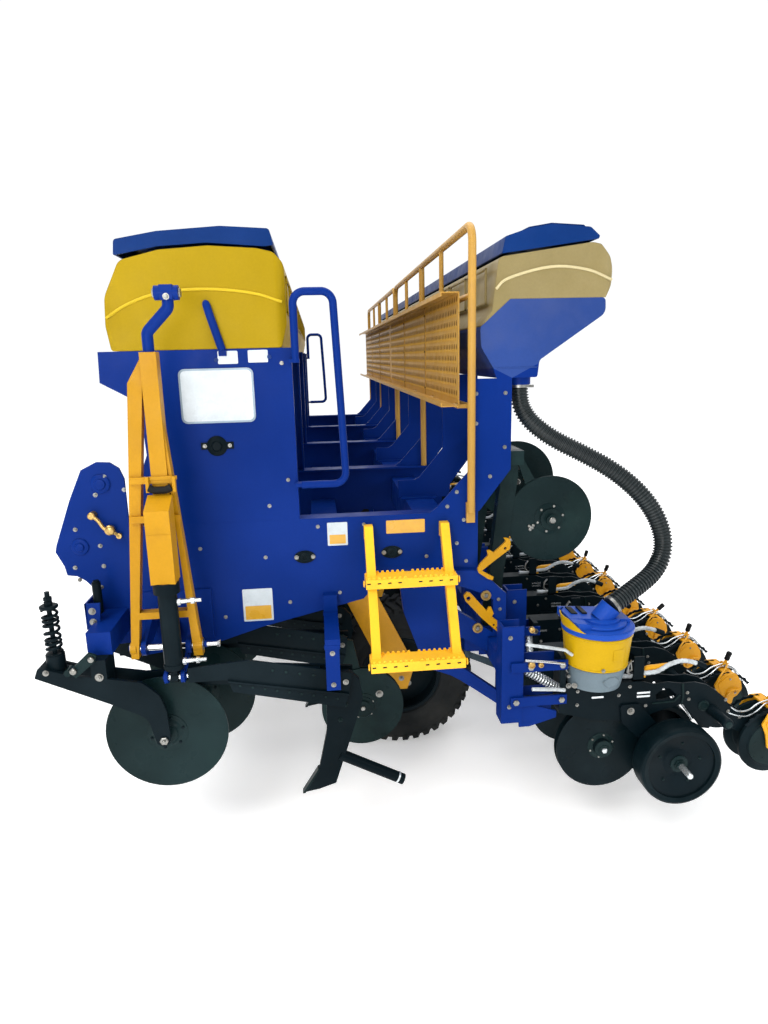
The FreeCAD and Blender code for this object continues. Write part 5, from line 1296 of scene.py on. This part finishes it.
# ------------------------------------------------------------------ transport tyres: carcass, tread bars, wheel bolts
TW, TR = 240.0, 380.0
for i in (1, 2, 3, 4):
    lo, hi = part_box("transport_tyre_%d" % i)
    cy = (lo[1] + hi[1]) / 2 * 1000
    cx = 370.0
    cz = 380.0 - 30.0
    g = G()
    h = TW / 2
    prof = [(206, -h + 14), (214, -h + 4), (228, -h + 1), (246, -h + 0.5), (262, -h + 3), (266, -h + 1), (300, -h), (330, -h + 1), (348, -h + 6), (356, -h + 12),
            (362, -h + 34), (365, -h + 60), (366, 0), (365, h - 60), (362, h - 34), (356, h - 12), (348, h - 6), (330, h - 1), (300, h), (266, h - 1), (262, h - 3),
            (246, h - 0.5), (228, h - 1), (214, h - 4), (206, h - 14)]
    g.lathe((cx, cy, cz), (0, 1, 0), prof, 72, True, True)
    # shoulder blocks and centre bars
    n = 40
    for k in range(n):
        t0 = PI2 * k / n
        for s in (-1, 1):
            off = 0.5 * PI2 / n if s > 0 else 0.0
            a0, a1 = t0 + off, t0 + off + PI2 / n * 0.58
            skew = 0.10
            def P3(a, r, yv):
                return (cx + r * math.cos(a), cy + yv, cz + r * math.sin(a))
            yi, yo = s * 18, s * (h - 6)
            v = [P3(a0 + skew, 362, yi), P3(a1 + skew, 362, yi), P3(a1, 352, yo), P3(a0, 352, yo),
                 P3(a0 + skew + 0.008, 379.6, yi), P3(a1 + skew - 0.008, 379.6, yi), P3(a1 - 0.008, 372, yo), P3(a0 + 0.008, 372, yo),
                 P3(a1, 340, s * (h - 1)), P3(a0, 340, s * (h - 1)), P3(a1 - 0.01, 352, s * (h + 0.0)), P3(a0 + 0.01, 352, s * (h + 0.0))]
            f = [(4, 5, 6, 7), (0, 1, 5, 4), (1, 2, 6, 5), (0, 4, 7, 3), (7, 6, 10, 11), (2, 8, 10, 6), (3, 7, 11, 9), (8, 9, 11, 10), (0, 3, 9, 8, 2, 1)]
            g.add(v, f)
    # ribs on the side wall
    for s in (-1, 1):
        g.lathe((cx, cy, cz), (0, s, 0), [(280, h - 0.6), (283, h + 0.0), (286, h - 0.6)], 64, True, False)
        g.lathe((cx, cy, cz), (0, s, 0), [(312, h - 0.6), (314, h + 0.0), (317, h - 0.6)], 64, True, False)
    o = g.obj("transport_tyre_tread_%d" % i, "tyre_rubber", "transport_wheel_%d" % i)
    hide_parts("transport_tyre_%d" % i)
    g, gz = G(), G()
    for s in (-1, 1):
        g.lathe((cx, cy, cz), (0, s, 0), [(191, 100), (205, 104), (212, 107), (214, 106), (206, 110), (198, 108), (188, 100)], 56, True, True)
        for k in range(6):
            t = PI2 * k / 6
            gz.bolt((cx + 100 * math.cos(t), cy + (-25 if s < 0 else 10), cz + 100 * math.sin(t)), (0, s, 0), 11, 9)
    g.obj("rim_flanges_%d" % i, "black_paint", "transport_wheel_%d" % i)
    gz.obj("wheel_bolts_%d" % i, "zinc", "transport_wheel_%d" % i)

# wheel arm bolts
g, gz = G(), G()
for i in (1, 2, 3, 4):
    lo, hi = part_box("transport_tyre_%d" % i)
    cy = (lo[1] + hi[1]) / 2 * 1000
    s = -1 if cy < 0 else 1
    yo = cy + s * (TW / 2 + 18)
    for (x, z) in ((165, 960), (150, 880), (370, 350)):
        gz.bolt((x, yo, z), (0, s, 0), 10, 8)
    yi = cy + s * (TW / 2 + 6)
gz.obj("wheel_arm_bolts", "zinc", "root")

# ------------------------------------------------------------------ floor, light
me = bpy.data.meshes.new("floor")
me.from_pydata([(-60, -60, 0), (60, -60, 0), (60, 60, 0), (-60, 60, 0)], [], [(0, 1, 2, 3)])
fl = bpy.data.objects.new("floor", me)
bpy.context.scene.collection.objects.link(fl)
fm = bpy.data.materials.new("floor")
fm.use_nodes = True
fb = fm.node_tree.nodes["Principled BSDF"]
fb.inputs["Base Color"].default_value = (0.96, 0.96, 0.96, 1)
fb.inputs["Roughness"].default_value = 0.85
fb.inputs["Emission Color"].default_value = (1.0, 1.0, 1.0, 1.0)
fb.inputs["Emission Strength"].default_value = 0.34
me.materials.append(fm)
fl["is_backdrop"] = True

w = bpy.data.worlds.new("studio")
bpy.context.scene.world = w
w.use_nodes = True
wt = w.node_tree
wb = wt.nodes["Background"]
# a white wall behind the machine, a soft ceiling, and a dim room in front
wc = wt.nodes.new("ShaderNodeTexCoord")
wsep = wt.nodes.new("ShaderNodeSeparateXYZ")
wt.links.new(wc.outputs["Generated"], wsep.inputs[0])
wr = wt.nodes.new("ShaderNodeMapRange")
wr.interpolation_type = "SMOOTHSTEP"
wr.inputs["From Min"].default_value = -0.35
wr.inputs["From Max"].default_value = 0.35
wr.inputs["To Min"].default_value = 0.22
wr.inputs["To Max"].default_value = 1.05
wt.links.new(wsep.outputs["Y"], wr.inputs["Value"])
wz = wt.nodes.new("ShaderNodeMapRange")
wz.interpolation_type = "SMOOTHSTEP"
wz.inputs["From Min"].default_value = 0.25
wz.inputs["From Max"].default_value = 0.85
wz.inputs["To Min"].default_value = 0.0
wz.inputs["To Max"].default_value = 0.75
wt.links.new(wsep.outputs["Z"], wz.inputs["Value"])
wm = wt.nodes.new("ShaderNodeMath")
wm.operation = "MAXIMUM"
wt.links.new(wr.outputs[0], wm.inputs[0])
wt.links.new(wz.outputs[0], wm.inputs[1])
wt.links.new(wm.outputs[0], wb.inputs["Strength"])
wb.inputs["Color"].default_value = (0.97, 0.985, 1.0, 1)


def area(name, loc, target, size, power, col=(1, 1, 1)):
    ld = bpy.data.lights.new(name, "AREA")
    ld.shape = "RECTANGLE"
    ld.size, ld.size_y = size
    ld.energy = power
    ld.color = col
    o = bpy.data.objects.new(name, ld)
    bpy.context.scene.collection.objects.link(o)
    o.location = loc
    o.rotation_euler = (Vector(target) - Vector(loc)).to_track_quat("-Z", "Y").to_euler()
    return o


area("key", (-4.0, -8.0, 8.0), (0, -1.5, 1.0), (4, 4), 430, (1.0, 0.985, 0.96))
area("fill", (6.5, -8.0, 4.5), (0.5, -1.5, 0.8), (4, 3), 170, (0.96, 0.985, 1.0))
area("low", (-2.0, -9.0, 2.2), (0.2, -2.5, 0.8), (3, 2), 150, (1.0, 0.99, 0.97))
area("top", (0.5, 0.5, 9.0), (0.5, 0.0, 0.5), (9, 9), 600)

lo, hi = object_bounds()
